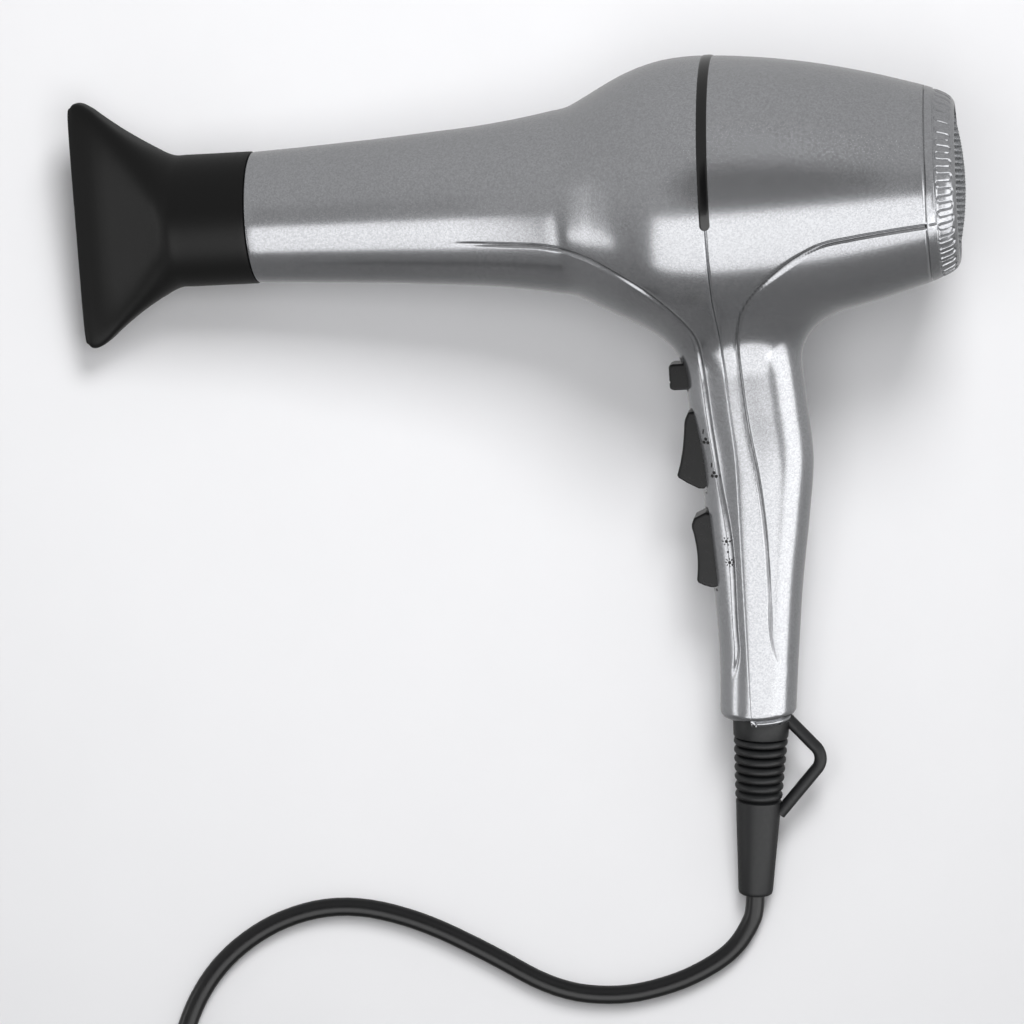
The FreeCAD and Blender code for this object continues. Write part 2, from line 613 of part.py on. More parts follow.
def loop_piece(piece):
    piece.Placement = relief_axis.multiply(piece.Placement)
    return piece


def loop_arm(name, angle, length, way):
    """A straight arm of the loop, from the elbow at an angle round its centre, along the tangent there."""
    across, along = math.cos(math.radians(angle)), math.sin(math.radians(angle))
    foot = (S("loop_offset") + S("loop_r") * across, S("loop_r") * along - S("loop_centre"), 0)
    return loop_piece(rod(name, S("loop_strap"), length, foot, (-way * along, way * across, 0)))


elbow = doc.addObject("Part::Torus", "loop_elbow")
bind(elbow, Radius1=S("loop_r"), Radius2=S("loop_strap"), Angle3=S("loop_high") + S("loop_low"))
elbow_turn = Rotation(Vector(0, 0, 1), -SIZES["loop_low"])
elbow.Placement = Placement(at(S("loop_offset"), -S("loop_centre")), elbow_turn)
loop = [loop_piece(elbow), loop_arm("upper_arm", SIZES["loop_high"], S("upper_arm"), 1),
        loop_arm("lower_arm", -SIZES["loop_low"], S("lower_arm"), -1)]
lead_bore = rod("lead_bore", bore, 80, (0, -75, 0), (0, 1, 0))
lead_bore.Placement = relief_axis.multiply(lead_bore.Placement)
node(cut("relief_bored", fuse("relief_and_loop", relief_body, *loop), lead_bore), "strain_relief")
lead = rod("lead", S("cord_d") * 0.5, 97, (0, -SIZES["relief_length"], 0), (0, 1, 0))
lead.Placement = relief_axis.multiply(lead.Placement)
node(lead, "cord_lead_in")
node(block("clamp_bar", (4.6, -179, 4.2), (19.4, -173, 7.2)), "cord_clamp")


def clamp_screw(name, x):
    """A small screw: a shank through the clamp bar, and a flat head on it."""
    shank = rod(name + "_shank", 1.2, 6, (x, -176, 1.3), (0, 0, 1))
    head = rod(name + "_head", 1.8, 1.3, (x, -176, 7.2), (0, 0, 1))
    return fuse(name, shank, head)


node(group("screws", [clamp_screw("left_screw", 6.6), clamp_screw("right_screw", 17.1)]), "clamp_screws")

# Cord: a tube along straight runs joined by tangent arcs, a coil, and a short tail to the plug

CORD_R = SIZES["cord_d"] / 2
FLOOR = CORD_R + 0.05
relief_end = LAY.multiply(relief_axis).multVec(at(0, -S("relief_length")))
CORD_ROUTE = [
    relief_end, at(76.6, -163.0, 4.4), at(70.6, -172.3, FLOOR), at(61, -179, FLOOR),
    at(46.5, -185.2, FLOOR), at(26, -189, FLOOR), at(3, -185.5, FLOOR), at(-22, -170, FLOOR),
    at(-48, -156.5, FLOOR), at(-74, -150, FLOOR), at(-98, -154.5, FLOOR), at(-118, -167, FLOOR),
    at(-131, -184, FLOOR), at(-138, -205, FLOOR), at(-141, -229, FLOOR), at(-141.3, -254, FLOOR),
]
TAIL_ROUTE = [
    at(-108, -300.6, FLOOR), at(-82, -302, FLOOR), at(-58, -300.8, 6.2), at(-32, -299.4, 14.8),
    at(S("plug_x"), S("plug_y"), S("plug_r") + 0.1),
]


def corner_arc(before, corner, after):
    """The arc that rounds one corner of a route, as large as its two runs allow."""
    back, ahead = before - corner, after - corner
    shorter = min(back.Length, ahead.Length)
    half_turn = (math.pi - back.getAngle(ahead)) / 2
    reach = 0.45 * shorter
    radius = reach / math.tan(half_turn)
    back.normalize()
    ahead.normalize()
    inward = (back + ahead).normalize()
    middle = corner + inward * (radius / math.cos(half_turn) - radius)
    return corner + back * reach, middle, corner + ahead * reach, radius


def cord_tube(name, route):
    edges, radii, start = [], [], route[0]
    for before, corner, after in zip(route, route[1:], route[2:]):
        arc_start, middle, arc_end, radius = corner_arc(before, corner, after)
        edges.append(Part.LineSegment(start, arc_start).toShape())
        edges.append(Part.Arc(arc_start, middle, arc_end).toShape())
        radii.append(radius)
        start = arc_end
    edges.append(Part.LineSegment(start, route[-1]).toShape())
    path = Part.Wire(edges)
    section = Part.Wire(Part.makeCircle(CORD_R, route[0], route[1] - route[0]))
    tube = path.makePipeShell([section], True, False)
    expected = math.pi * CORD_R ** 2 * path.Length
    print(name, "length", round(path.Length, 1), "radii", [round(r, 1) for r in radii],
          "volume over section times length", round(tube.Volume / expected, 4))
    return floor_node(fixed_shape(name + "_shape", tube), name)


cord_tube("cord_tube", CORD_ROUTE)
coil = ring("coil_turns", 0, S("coil_high"), S("coil_r") + S("coil_half"), S("coil_r") - S("coil_half"))
coil.Placement = Placement(at(S("coil_x"), S("coil_y")), Rotation(Vector(0, 1, 0), -90))
floor_node(coil, "cord_coil")
cord_tube("cord_tail", TAIL_ROUTE)

# Plug: a round moulded body with a tapered neck and two contact pins

plug_centre = at(S("plug_x"), S("plug_y"), S("plug_r") + 0.1)
neck_end = S("plug_neck")
face = neck_end + S("plug_thick")
plug = turned("plug_blank", [(0, 0), (face, 0), (face, S("plug_r") - 1.2), (face - 1.2, S("plug_r")),
                             (neck_end + 2, S("plug_r")), (neck_end - 3, S("plug_r") - 4.5),
                             (neck_end * 0.5, 8.2), (0, 5.6)])
plug.Placement = Placement(plug_centre, Rotation())
floor_node(plug, "plug_body")
plug_face = plug_centre + at(face, 0)
contacts = []
for name, side in (("left_contact", 1), ("right_contact", -1)):
    foot = plug_face + at(0, side * SIZES["plug_pin_apart"] / 2)
    contacts.append(rod(name, S("plug_pin_r"), S("plug_pin_out"), foot, (1, 0, 0)))
floor_node(group("contact_pair", contacts), "plug_pins")

doc.recompute()

faults = []
for item in doc.Objects:
    if "Invalid" in item.State or "Error" in item.State:
        faults.append(f"{item.Label}: {item.State}")
for piece in nodes:
    if piece.Shape.isNull() or not piece.Shape.isValid() or not piece.Shape.Solids:
        faults.append(f"{piece.Label}: no valid solid")
if faults:
    raise RuntimeError("; ".join(faults))

os.makedirs("parts", exist_ok=True)
for piece in nodes:
    piece.Shape.exportStep(f"parts/{piece.Label}.step")
    print(piece.Label, len(piece.Shape.Solids), "solids", round(piece.Shape.Volume, 1), "cubic mm")
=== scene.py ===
"""Salon hair dryer lying on its side, with its lead coiled up beside it."""
import math

import bmesh
import bpy
import numpy as np
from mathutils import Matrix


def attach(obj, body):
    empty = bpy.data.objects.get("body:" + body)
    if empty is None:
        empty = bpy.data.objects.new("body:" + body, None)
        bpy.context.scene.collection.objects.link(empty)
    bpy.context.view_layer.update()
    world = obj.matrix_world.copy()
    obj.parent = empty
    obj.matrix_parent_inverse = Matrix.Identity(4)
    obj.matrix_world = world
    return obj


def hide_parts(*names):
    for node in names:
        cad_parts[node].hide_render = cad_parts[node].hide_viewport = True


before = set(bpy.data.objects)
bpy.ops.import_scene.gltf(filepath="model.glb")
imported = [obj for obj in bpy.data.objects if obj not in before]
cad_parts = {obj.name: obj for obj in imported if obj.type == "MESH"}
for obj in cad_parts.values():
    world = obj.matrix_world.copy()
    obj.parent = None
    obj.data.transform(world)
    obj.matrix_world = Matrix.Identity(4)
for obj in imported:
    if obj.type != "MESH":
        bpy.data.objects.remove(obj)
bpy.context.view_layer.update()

bl_info = {
    "name": "Salon hair dryer",
    "version": (1, 0, 0),
    "blender": (4, 5, 0),
    "location": "View3D > Sidebar > Dryer",
    "description": "Builds the visible pieces of a salon hair dryer around its frame",
    "category": "Object",
}

MM = 0.001

# The dryer's own frame, in mm: X along the barrel towards the filter, Y up, Z to the side that shows.
ROLL = math.radians(9.94)
PITCH = math.radians(-7.78)
LAID_AT = np.array([67.3, 103.74, 50.09])
ROLL_TURN = np.array(
    [
        [1, 0, 0],
        [0, math.cos(ROLL), -math.sin(ROLL)],
        [0, math.sin(ROLL), math.cos(ROLL)],
    ]
)
PITCH_TURN = np.array(
    [
        [math.cos(PITCH), 0, math.sin(PITCH)],
        [0, 1, 0],
        [-math.sin(PITCH), 0, math.cos(PITCH)],
    ]
)
LAID = PITCH_TURN @ ROLL_TURN

# Barrel outline as x and radius.
BARREL = np.array(
    [
        (-163.6, 23.8), (-146.3, 24.6), (-131.9, 25.4), (-118.0, 26.2), (-98.4, 27.6), (-80.5, 29.0),
        (-69.0, 30.4), (-53.6, 32.9), (-47.4, 34.1), (-42.8, 36.3), (-35.6, 40.2), (-27.2, 44.4),
        (-15.5, 48.3), (-2.6, 49.8), (8.0, 49.5), (19.4, 48.5), (41.5, 45.2), (63.3, 40.2), (80.9, 35.1),
    ]
)
# Handle as depth below the barrel's axis, front edge, back edge and half thickness.
HANDLE = np.array(
    [
        (20.0, -11.0, 30.6, 17.5), (53.5, -10.4, 31.8, 17.2), (76.5, -9.3, 33.6, 17.0),
        (97.0, -6.4, 34.9, 16.8), (117.5, -5.4, 32.6, 16.2), (143.0, -3.9, 28.8, 15.2),
        (168.0, -3.2, 26.0, 14.3), (192.5, -4.2, 23.6, 13.5),
    ]
)
# The handle starts at this height inside the barrel, and blends into it over this distance.
HANDLE_TOP = -15.0
BLEND = 18.0
HANDLE_END = 192.5
SEAM_X = 4.2
# The lead's sleeve: its tilt, its top centre, the ways down its axis and out from it, and its length.
RELIEF_TILT = math.radians(4.94)
RELIEF_TOP = np.array([10.9, -HANDLE_END, 0.0])
RELIEF_DOWN = np.array([-math.sin(RELIEF_TILT), -math.cos(RELIEF_TILT), 0.0])
RELIEF_OUT = np.array([math.cos(RELIEF_TILT), -math.sin(RELIEF_TILT), 0.0])
RELIEF_LENGTH = 67.9
# Switch windows as depths below the barrel's axis, and their half widths.
SPEED_WINDOW = (77.1, 108.1)
HEAT_WINDOW = (113.8, 144.2)
BUTTON_WINDOW = (60.1, 70.3)
ROCKER_HALF_WINDOW = 7.0
BUTTON_HALF_WINDOW = 5.3
# Styling grooves, as x and y on the side that shows; the far side has their mirror image.
FRONT_GROOVE = [
    (-92.0, -10.2), (-69.5, -11.6), (-54.5, -12.9), (-41.0, -16.6), (-28.0, -23.6), (-17.5, -31.2),
    (-8.5, -41.5), (-4.2, -49.0), (-2.6, -61.9), (-0.4, -86.9), (1.0, -100.4), (3.9, -122.3),
    (4.2, -158.2), (4.3, -166.4), (1.6, -175.6), (-0.6, -179.0),
]
REAR_GROOVE = [
    (84.0, -11.6), (68.2, -12.8), (54.4, -14.2), (44.0, -15.9), (34.9, -20.2), (27.8, -25.0),
    (19.6, -32.0), (13.6, -40.4), (10.9, -50.9), (11.2, -67.0), (13.2, -87.0), (15.0, -98.6),
    (16.6, -114.7), (17.4, -147.6), (17.4, -161.4), (20.0, -173.1), (23.4, -178.4),
]


# ---------------------------------------------------------------- shape functions


def to_row(points):
    """Turn points in the dryer's own frame, in mm, into the row frame, in metres."""
    return (points @ LAID.T + LAID_AT) * MM


def smooth_curve(knots_x, knots_y, x):
    """Cubic through knots: each piece is a Hermite blend whose end slopes are the mean of its neighbours'."""
    knots_x, knots_y = np.asarray(knots_x, float), np.asarray(knots_y, float)
    slope = np.gradient(knots_y, knots_x)
    x = np.clip(x, knots_x[0], knots_x[-1])
    piece = np.clip(np.searchsorted(knots_x, x, side="right") - 1, 0, len(knots_x) - 2)
    width = knots_x[piece + 1] - knots_x[piece]
    t = (x - knots_x[piece]) / width
    low, high = knots_y[piece], knots_y[piece + 1]
    return (
        low * (1 + 2 * t) * (1 - t) ** 2
        + high * t**2 * (3 - 2 * t)
        + width * t * (1 - t) * (slope[piece] * (1 - t) - slope[piece + 1] * t)
    )


def smooth_path(points, count):
    """Evenly stepped points on the smooth curve through some points, with distance along them as parameter."""
    points = np.asarray(points, float)
    along = np.concatenate([[0], np.cumsum(np.linalg.norm(np.diff(points, axis=0), axis=1))])
    step = np.linspace(0, along[-1], count)
    return np.stack([smooth_curve(along, column, step) for column in points.T], axis=1)


def smooth_step(value, low, high):
    """0 below low, 1 above high, and a smooth rise between."""
    t = np.clip((value - low) / (high - low), 0, 1)
    return t * t * (3 - 2 * t)


def barrel_radius(x):
    """Radius of the barrel and body at a place along them."""
    return smooth_curve(BARREL[:, 0], BARREL[:, 1], x)


def handle_section(y):
    """Centre, half width and half thickness of the handle's ellipse at a height."""
    front, back, thick = (smooth_curve(HANDLE[:, 0], HANDLE[:, k], -y) for k in (1, 2, 3))
    return (front + back) / 2, (back - front) / 2, thick


def skin_field(points):
    """How far a point is outside the housing: the smooth minimum of distances to the barrel and the handle."""
    x, y, z = points[..., 0], points[..., 1], points[..., 2]
    barrel = np.hypot(y, z) - barrel_radius(x)
    centre, width, thick = handle_section(y)
    handle = (np.hypot((x - centre) / width, z / thick) - 1) * np.minimum(width, thick)
    handle = np.maximum(handle, y - HANDLE_TOP)
    share = np.clip(1 - np.abs(barrel - handle) / BLEND, 0, 1)
    return np.minimum(barrel, handle) - BLEND * share**2 / 4


def field_slope(points):
    """Gradient of the skin field by central differences."""
    step = 0.05
    shifts = np.eye(3) * step
    return np.stack([skin_field(points + s) - skin_field(points - s) for s in shifts], axis=-1) / (2 * step)


def onto_skin(points, rounds=12):
    """Move points to the skin along the field's gradient, by Newton's method."""
    for _ in range(rounds):
        slope = field_slope(points)
        share = skin_field(points) / np.maximum((slope**2).sum(-1), 0.05)
        points = points - slope * share[..., None]
    return points


def along_rays(start, direction, rounds=90):
    """Move points along their own directions until the skin field is zero, by its own size at each step."""
    points = start.copy()
    for _ in range(rounds):
        points = points - direction * skin_field(points)[..., None]
    return points


def grid_faces(rows, columns, wrap=False):
    """Quads of a grid of vertices numbered row by row; wrap joins the last column to the first."""
    index = np.arange(rows * columns).reshape(rows, columns)
    if wrap:
        index = np.hstack([index, index[:, :1]])
    corners = (index[:-1, :-1], index[:-1, 1:], index[1:, 1:], index[1:, :-1])
    return np.stack(corners, axis=-1).reshape(-1, 4)


def piece_from(name, points, faces, material, body="housing", sharp=32.0, close=True, row=False):
    """Object from points in mm and faces: doubles merged, normals outwards, smooth shading up to an angle."""
    mesh = bpy.data.meshes.new(name)
    placed = points * MM if row else to_row(np.asarray(points, float))
    mesh.from_pydata(placed.tolist(), [], faces.tolist() if isinstance(faces, np.ndarray) else faces)
    if close:
        work = bmesh.new()
        work.from_mesh(mesh)
        bmesh.ops.remove_doubles(work, verts=work.verts, dist=2e-6)
        bmesh.ops.dissolve_degenerate(work, edges=work.edges, dist=1e-7)
        bmesh.ops.recalc_face_normals(work, faces=work.faces)
        work.to_mesh(mesh)
        work.free()
    mesh.polygons.foreach_set("use_smooth", np.ones(len(mesh.polygons), bool))
    mesh.set_sharp_from_angle(angle=math.radians(sharp))
    mesh.materials.append(material)
    mesh.update()
    piece = bpy.data.objects.new(name, mesh)
    bpy.context.scene.collection.objects.link(piece)
    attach(piece, body)
    return piece


def turned(profile, origin, axis, sides=96):
    """Points and faces of a profile of distances along an axis and radii, turned about that axis."""
    profile = np.asarray(profile, float)
    axis = np.asarray(axis, float) / np.linalg.norm(axis)
    helper = np.array([0.0, 0.0, 1.0]) if abs(axis[2]) < 0.9 else np.array([0.0, 1.0, 0.0])
    across = np.cross(helper, axis)
    across /= np.linalg.norm(across)
    third = np.cross(axis, across)
    angle = np.linspace(0, 2 * np.pi, sides, endpoint=False)
    spoke = np.cos(angle)[:, None] * across + np.sin(angle)[:, None] * third
    points = np.asarray(origin) + profile[:, 0, None, None] * axis + profile[:, 1, None, None] * spoke
    return points.reshape(-1, 3), grid_faces(len(profile), sides, wrap=True)


def tube(path, across, radius, sides=10):
    """Points and faces of a round tube along a flat path; across is the normal of the path's plane."""
    path = np.asarray(path, float)
    across = np.asarray(across, float)
    along = np.gradient(path, axis=0)
    along /= np.linalg.norm(along, axis=1, keepdims=True)
    side = np.cross(across, along)
    angle = np.linspace(0, 2 * np.pi, sides, endpoint=False)
    radius = np.broadcast_to(radius, len(path))[:, None, None]
    ring = np.cos(angle)[None, :, None] * side[:, None] + np.sin(angle)[None, :, None] * across
    points = (path[:, None] + radius * ring).reshape(-1, 3)
    faces = grid_faces(len(path), sides, wrap=True).tolist()
    last = len(path) * sides
    return points, faces + [list(range(sides))[::-1], list(range(last - sides, last))]


def rounded_slab(outline, half, edge, steps=4):
    """Points and faces of a flat outline in x and y given width along z, its edges rounded to a radius."""
    outline = np.asarray(outline, float)
    ahead = np.roll(outline, -1, axis=0) - outline
    normal = np.stack([ahead[:, 1], -ahead[:, 0]], axis=1)
    normal /= np.linalg.norm(normal, axis=1, keepdims=True)
    inward = -(normal + np.roll(normal, 1, axis=0))
    inward /= np.linalg.norm(inward, axis=1, keepdims=True)
    area = (outline[:, 0] * np.roll(outline[:, 1], -1) - np.roll(outline[:, 0], -1) * outline[:, 1]).sum()
    inward *= np.sign(area)
    turn = np.linspace(0, np.pi / 2, steps + 1)
    inset = np.concatenate([edge * (1 - np.sin(turn)), edge * (1 - np.sin(turn[::-1]))])
    level = np.concatenate([-half + edge * (1 - np.cos(turn)), half - edge * (1 - np.cos(turn[::-1]))])
    flat = outline[None] + inset[:, None, None] * inward[None]
    points = np.concatenate([flat, np.broadcast_to(level[:, None, None], flat.shape[:2] + (1,))], axis=2)
    count = len(outline)
    faces = grid_faces(len(level), count, wrap=True).tolist()
    last = len(level) * count
    return points.reshape(-1, 3), faces + [list(range(count))[::-1], list(range(last - count, last))]


# ---------------------------------------------------------------- housing skin


def spaced(*stops):
    """Values from stop to stop, each stop given with the number of steps that reach it."""
    values = [np.array([stops[0]])]
    for (target, steps), start in zip(stops[1:], [stops[0]] + [s[0] for s in stops[1:-1]]):
        values.append(np.linspace(start, target, steps + 1)[1:])
    return np.concatenate(values)


# Rows of the shell's mouth as x and radius: a spigot for the nozzle, and a rounded step up to the barrel.
MOUTH_RING = [
    (-175.0, 21.6), (-164.4, 21.6), (-164.0, 21.9), (-163.9, 22.9), (-163.75, 23.45), (-163.4, 23.75),
]
# The rectangle under the barrel where the handle joins, as x and as columns either side of the underside.
HOLE_START, HOLE_END = -30.0, 52.0
HOLE_COLUMNS = 30
BODY_ROWS = spaced(-162.9, (-100.0, 22), (HOLE_START, 40), (SEAM_X, 32), (HOLE_END, 46), (80.9, 24))
HALF_ANGLES = np.radians(spaced(0.0, (44.0, HOLE_COLUMNS), (60.0, 28), (82.0, 56), (104.0, 12), (180.0, 22)))
# Lengthwise lines of the handle from its front centre to the edge of the button's and the rockers' windows.
BUTTON_LINES, ROCKER_LINES = 10, 13
HANDLE_ROWS = spaced(
    56.0,
    (BUTTON_WINDOW[0], 4),
    (BUTTON_WINDOW[1], 8),
    (SPEED_WINDOW[0], 5),
    (SPEED_WINDOW[1], 21),
    (HEAT_WINDOW[0], 4),
    (HEAT_WINDOW[1], 20),
    (189.5, 28),
)
END_ROUND = 3.0
END_STEPS = 6
SLEEVE_HOLE_RADIUS = 10.9
JOIN_STEPS = 30


def handle_angle(line, y, seam_line, last_line):
    """Angle round the handle of each lengthwise line: lines run along the windows' edges and the seam."""
    centre, width, thick = handle_section(y)
    seam_x = 5.5 + 2.5 * smooth_step(-y, 56, 100)
    stops = [
        np.zeros_like(y),
        np.arcsin(BUTTON_HALF_WINDOW / thick),
        np.arcsin(ROCKER_HALF_WINDOW / thick),
        np.arccos((centre - seam_x) / width),
        np.full_like(y, np.pi),
    ]
    marks = [0, BUTTON_LINES, ROCKER_LINES, seam_line, last_line]
    angle = np.zeros(np.broadcast(line, y).shape)
    for low, high, start, stop in zip(marks[:-1], marks[1:], stops[:-1], stops[1:]):
        share = (line - low) / (high - low)
        angle = np.where((line >= low) & (line <= high), start + (stop - start) * share, angle)
    return angle


def faced_out(points, quads):
    """The same quads, all wound alike, the way that makes most of them face up the skin field's slope."""
    corner = points[quads.reshape(-1, 4)[::37]]
    normal = np.cross(corner[:, 1] - corner[:, 0], corner[:, 3] - corner[:, 0])
    return quads if (normal * field_slope(corner[:, 0])).sum() > 0 else quads[..., ::-1]


def skin_mesh():
    """Vertices, quads and a front flag for each quad of the whole housing.

    The barrel is a grid of rows along X and columns round it, each vertex pushed out along its spoke to where
    the skin field is zero. A rectangle underneath is left out. Lines from the rectangle's edge run down to the
    handle, where each row is an ellipse pushed out in the same way.
    """
    columns = np.concatenate([HALF_ANGLES, 2 * np.pi - HALF_ANGLES[-2:0:-1]])
    round_count = len(columns)
    spoke = np.stack([np.zeros(round_count), -np.cos(columns), np.sin(columns)], axis=1)
    x = BODY_ROWS[:, None, None] * np.array([1.0, 0, 0])
    start = x + barrel_radius(BODY_ROWS)[:, None, None] * spoke[None]
    barrel = along_rays(start, np.broadcast_to(spoke, start.shape))
    mouth_x, mouth_radius = np.array(MOUTH_RING).T[:, :, None, None]
    mouth = mouth_x * np.array([1.0, 0, 0]) + mouth_radius * spoke[None]
    body = np.concatenate([mouth, barrel])
    rows = len(body)
    first = len(MOUTH_RING) + int(np.argmin(np.abs(BODY_ROWS - HOLE_START)))
    last = len(MOUTH_RING) + int(np.argmin(np.abs(BODY_ROWS - HOLE_END)))
    seam = len(MOUTH_RING) + int(np.argmin(np.abs(BODY_ROWS - SEAM_X)))
    index = np.arange(rows * round_count).reshape(rows, round_count)
    quads = grid_faces(rows, round_count, wrap=True).reshape(rows - 1, round_count, 4)
    row = np.arange(rows - 1)[:, None]
    column = np.arange(round_count)[None]
    beneath = (column < HOLE_COLUMNS) | (column >= round_count - HOLE_COLUMNS)
    keep = ~((row >= first) & (row < last) & beneath)
    body_quads = quads[keep]
    body_front = np.broadcast_to(row < seam, keep.shape)[keep]

    # Edge of the rectangle, from the front centre round the side that shows to the back centre, then home.
    near = np.concatenate(
        [
            index[first, :HOLE_COLUMNS],
            index[first:last, HOLE_COLUMNS],
            index[last, HOLE_COLUMNS::-1],
        ]
    )
    far = np.concatenate(
        [
            index[last, round_count - np.arange(1, HOLE_COLUMNS + 1)],
            index[np.arange(last - 1, first - 1, -1), round_count - HOLE_COLUMNS],
            index[first, round_count - np.arange(HOLE_COLUMNS - 1, 0, -1)],
        ]
    )
    edge = np.concatenate([near, far])
    last_line = len(near) - 1
    seam_line = HOLE_COLUMNS + seam - first
    ring_count = len(edge)
    line = np.arange(ring_count)
    half_line = np.where(line <= last_line, line, ring_count - line)
    side = np.where(line <= last_line, 1.0, -1.0)
    y = -HANDLE_ROWS[:, None] * np.ones(ring_count)[None]
    angle = handle_angle(half_line[None], y, seam_line, last_line)
    centre, width, thick = handle_section(y)
    reach = np.stack([-width * np.cos(angle), np.zeros_like(y), side * thick * np.sin(angle)], axis=-1)
    outward = reach / np.linalg.norm(reach, axis=-1, keepdims=True)
    middle = np.stack([centre, y, np.zeros_like(y)], axis=-1)
    handle = along_rays(middle + reach, outward)
    # Rounded end, then a flat face in to the hole for the lead's sleeve.
    turn = np.linspace(0, np.pi / 2, END_STEPS + 1)[1:]
    bottom_y = -(HANDLE_ROWS[-1] + END_ROUND * np.sin(turn))
    bottom = handle[-1][None] - outward[-1][None] * (END_ROUND * (1 - np.cos(turn)))[:, None, None]
    bottom[..., 1] = bottom_y[:, None]
    round_x, round_z = np.cos(angle[-1]) * SLEEVE_HOLE_RADIUS, np.sin(angle[-1]) * SLEEVE_HOLE_RADIUS
    hole = np.stack([RELIEF_TOP[0] - round_x, 0 * line - HANDLE_END, side * round_z], axis=-1)
    # Lines that join the rectangle's edge to the handle's first row, drawn straight and moved onto the skin.
    share = np.linspace(0, 1, JOIN_STEPS + 1)[1:-1, None, None]
    edge_points = body.reshape(-1, 3)[edge]
    join = edge_points[None] * (1 - share) + handle[0][None] * share
    join = onto_skin(join)
    lower = np.concatenate([join, handle, bottom, hole[None]])
    offset = rows * round_count
    lower_index = np.vstack([edge[None], offset + np.arange(len(lower) * ring_count).reshape(-1, ring_count)])
    lower_index = np.hstack([lower_index, lower_index[:, :1]])
    corners = (lower_index[:-1, :-1], lower_index[1:, :-1], lower_index[1:, 1:], lower_index[:-1, 1:])
    lower_quads = np.stack(corners, axis=-1)
    half_face = np.where(line < last_line, line, ring_count - 1 - line)[None]
    last_rows = np.full(END_STEPS + 1, HANDLE_END)
    depth = np.concatenate([np.zeros(JOIN_STEPS), (HANDLE_ROWS[:-1] + HANDLE_ROWS[1:]) / 2, last_rows])[:, None]
    window = np.zeros((len(depth), ring_count), bool)
    windows = ((SPEED_WINDOW, ROCKER_LINES), (HEAT_WINDOW, ROCKER_LINES), (BUTTON_WINDOW, BUTTON_LINES))
    for (high, low), lines in windows:
        window |= (depth > high) & (depth < low) & (half_face < lines)
    lower_front = np.broadcast_to(half_face < seam_line, window.shape)
    points = np.concatenate([body.reshape(-1, 3), lower.reshape(-1, 3)])
    body_quads, lower_quads = (faced_out(points, part) for part in (body_quads, lower_quads))
    quads = np.concatenate([body_quads, lower_quads[~window]])
    front = np.concatenate([body_front, lower_front[~window]])
    over = index[seam, HOLE_COLUMNS : round_count - HOLE_COLUMNS + 1]
    seam_points = np.concatenate([over, lower_index[:, seam_line], lower_index[:, -1 - seam_line]])
    # No groove is pressed into the mouth or the rounded end.
    plain = np.zeros(len(points), bool)
    plain[: len(MOUTH_RING) * round_count] = True
    plain[-(END_STEPS + 2) * ring_count :] = True
    return points, quads, front, seam_points, plain


def groove_distance(points, groove):
    """Distance of each point to a groove, and how far along the groove its nearest place is from 0 to 1."""
    path = smooth_path(groove, 420)
    flat = np.column_stack([path, np.full(len(path), 60.0)])
    on_skin = along_rays(flat, np.broadcast_to([0.0, 0.0, 1.0], flat.shape), rounds=160)
    mirrored = np.column_stack([points[:, :2], np.abs(points[:, 2])])
    distance = np.empty(len(points))
    nearest = np.empty(len(points), int)
    for start in range(0, len(points), 4000):
        part = mirrored[start : start + 4000]
        gap = ((part[:, None] - on_skin[None]) ** 2).sum(-1)
        nearest[start : start + 4000] = gap.argmin(1)
        distance[start : start + 4000] = np.sqrt(gap.min(1))
    return distance, nearest / (len(path) - 1)


# ---------------------------------------------------------------- materials


def linear(code):
    """sRGB hex to a linear colour with alpha."""
    parts = [int(code[i : i + 2], 16) / 255 for i in (1, 3, 5)]
    return tuple(p / 12.92 if p <= 0.04045 else ((p + 0.055) / 1.055) ** 2.4 for p in parts) + (1.0,)


def add_node(tree, kind, sockets=None, links=None, **settings):
    """Add one node with its settings, socket values and incoming links."""
    node = tree.nodes.new(kind)
    for key, value in settings.items():
        setattr(node, key, value)
    for key, value in (sockets or {}).items():
        node.inputs[key].default_value = value
    for key, source in (links or {}).items():
        tree.links.new(source, node.inputs[key])
    return node


def mottled(name, dark, light, size, rough, bump=0.0, stretch=(1, 1, 1), detail=3.0, **shader):
    """Material with noise of a real size in mm that mixes two colours and varies the gloss and the height."""
    material = bpy.data.materials.new(name)
    material.use_nodes = True
    tree = material.node_tree
    principled = tree.nodes["Principled BSDF"]
    for key, value in shader.items():
        principled.inputs[key.replace("_", " ")].default_value = value
    place = add_node(tree, "ShaderNodeTexCoord")
    stretched = add_node(tree, "ShaderNodeMapping", {"Scale": stretch}, {"Vector": place.outputs["Object"]})
    noise = add_node(
        tree,
        "ShaderNodeTexNoise",
        {"Scale": 1 / (size * MM), "Detail": detail, "Roughness": 0.6},
        {"Vector": stretched.outputs["Vector"]},
    )
    colours = {6: linear(dark), 7: linear(light)}
    tint = add_node(tree, "ShaderNodeMix", colours, {"Factor": noise.outputs["Fac"]}, data_type="RGBA")
    tree.links.new(tint.outputs[2], principled.inputs["Base Color"])
    gloss = add_node(
        tree,
        "ShaderNodeMapRange",
        {"From Min": 0.3, "From Max": 0.7, "To Min": rough[0], "To Max": rough[1]},
        {"Value": noise.outputs["Fac"]},
    )
    tree.links.new(gloss.outputs["Result"], principled.inputs["Roughness"])
    if bump:
        height = {"Height": noise.outputs["Fac"]}
        lift = add_node(tree, "ShaderNodeBump", {"Strength": 1.0, "Distance": bump * MM}, height)
        tree.links.new(lift.outputs["Normal"], principled.inputs["Normal"])
    return material


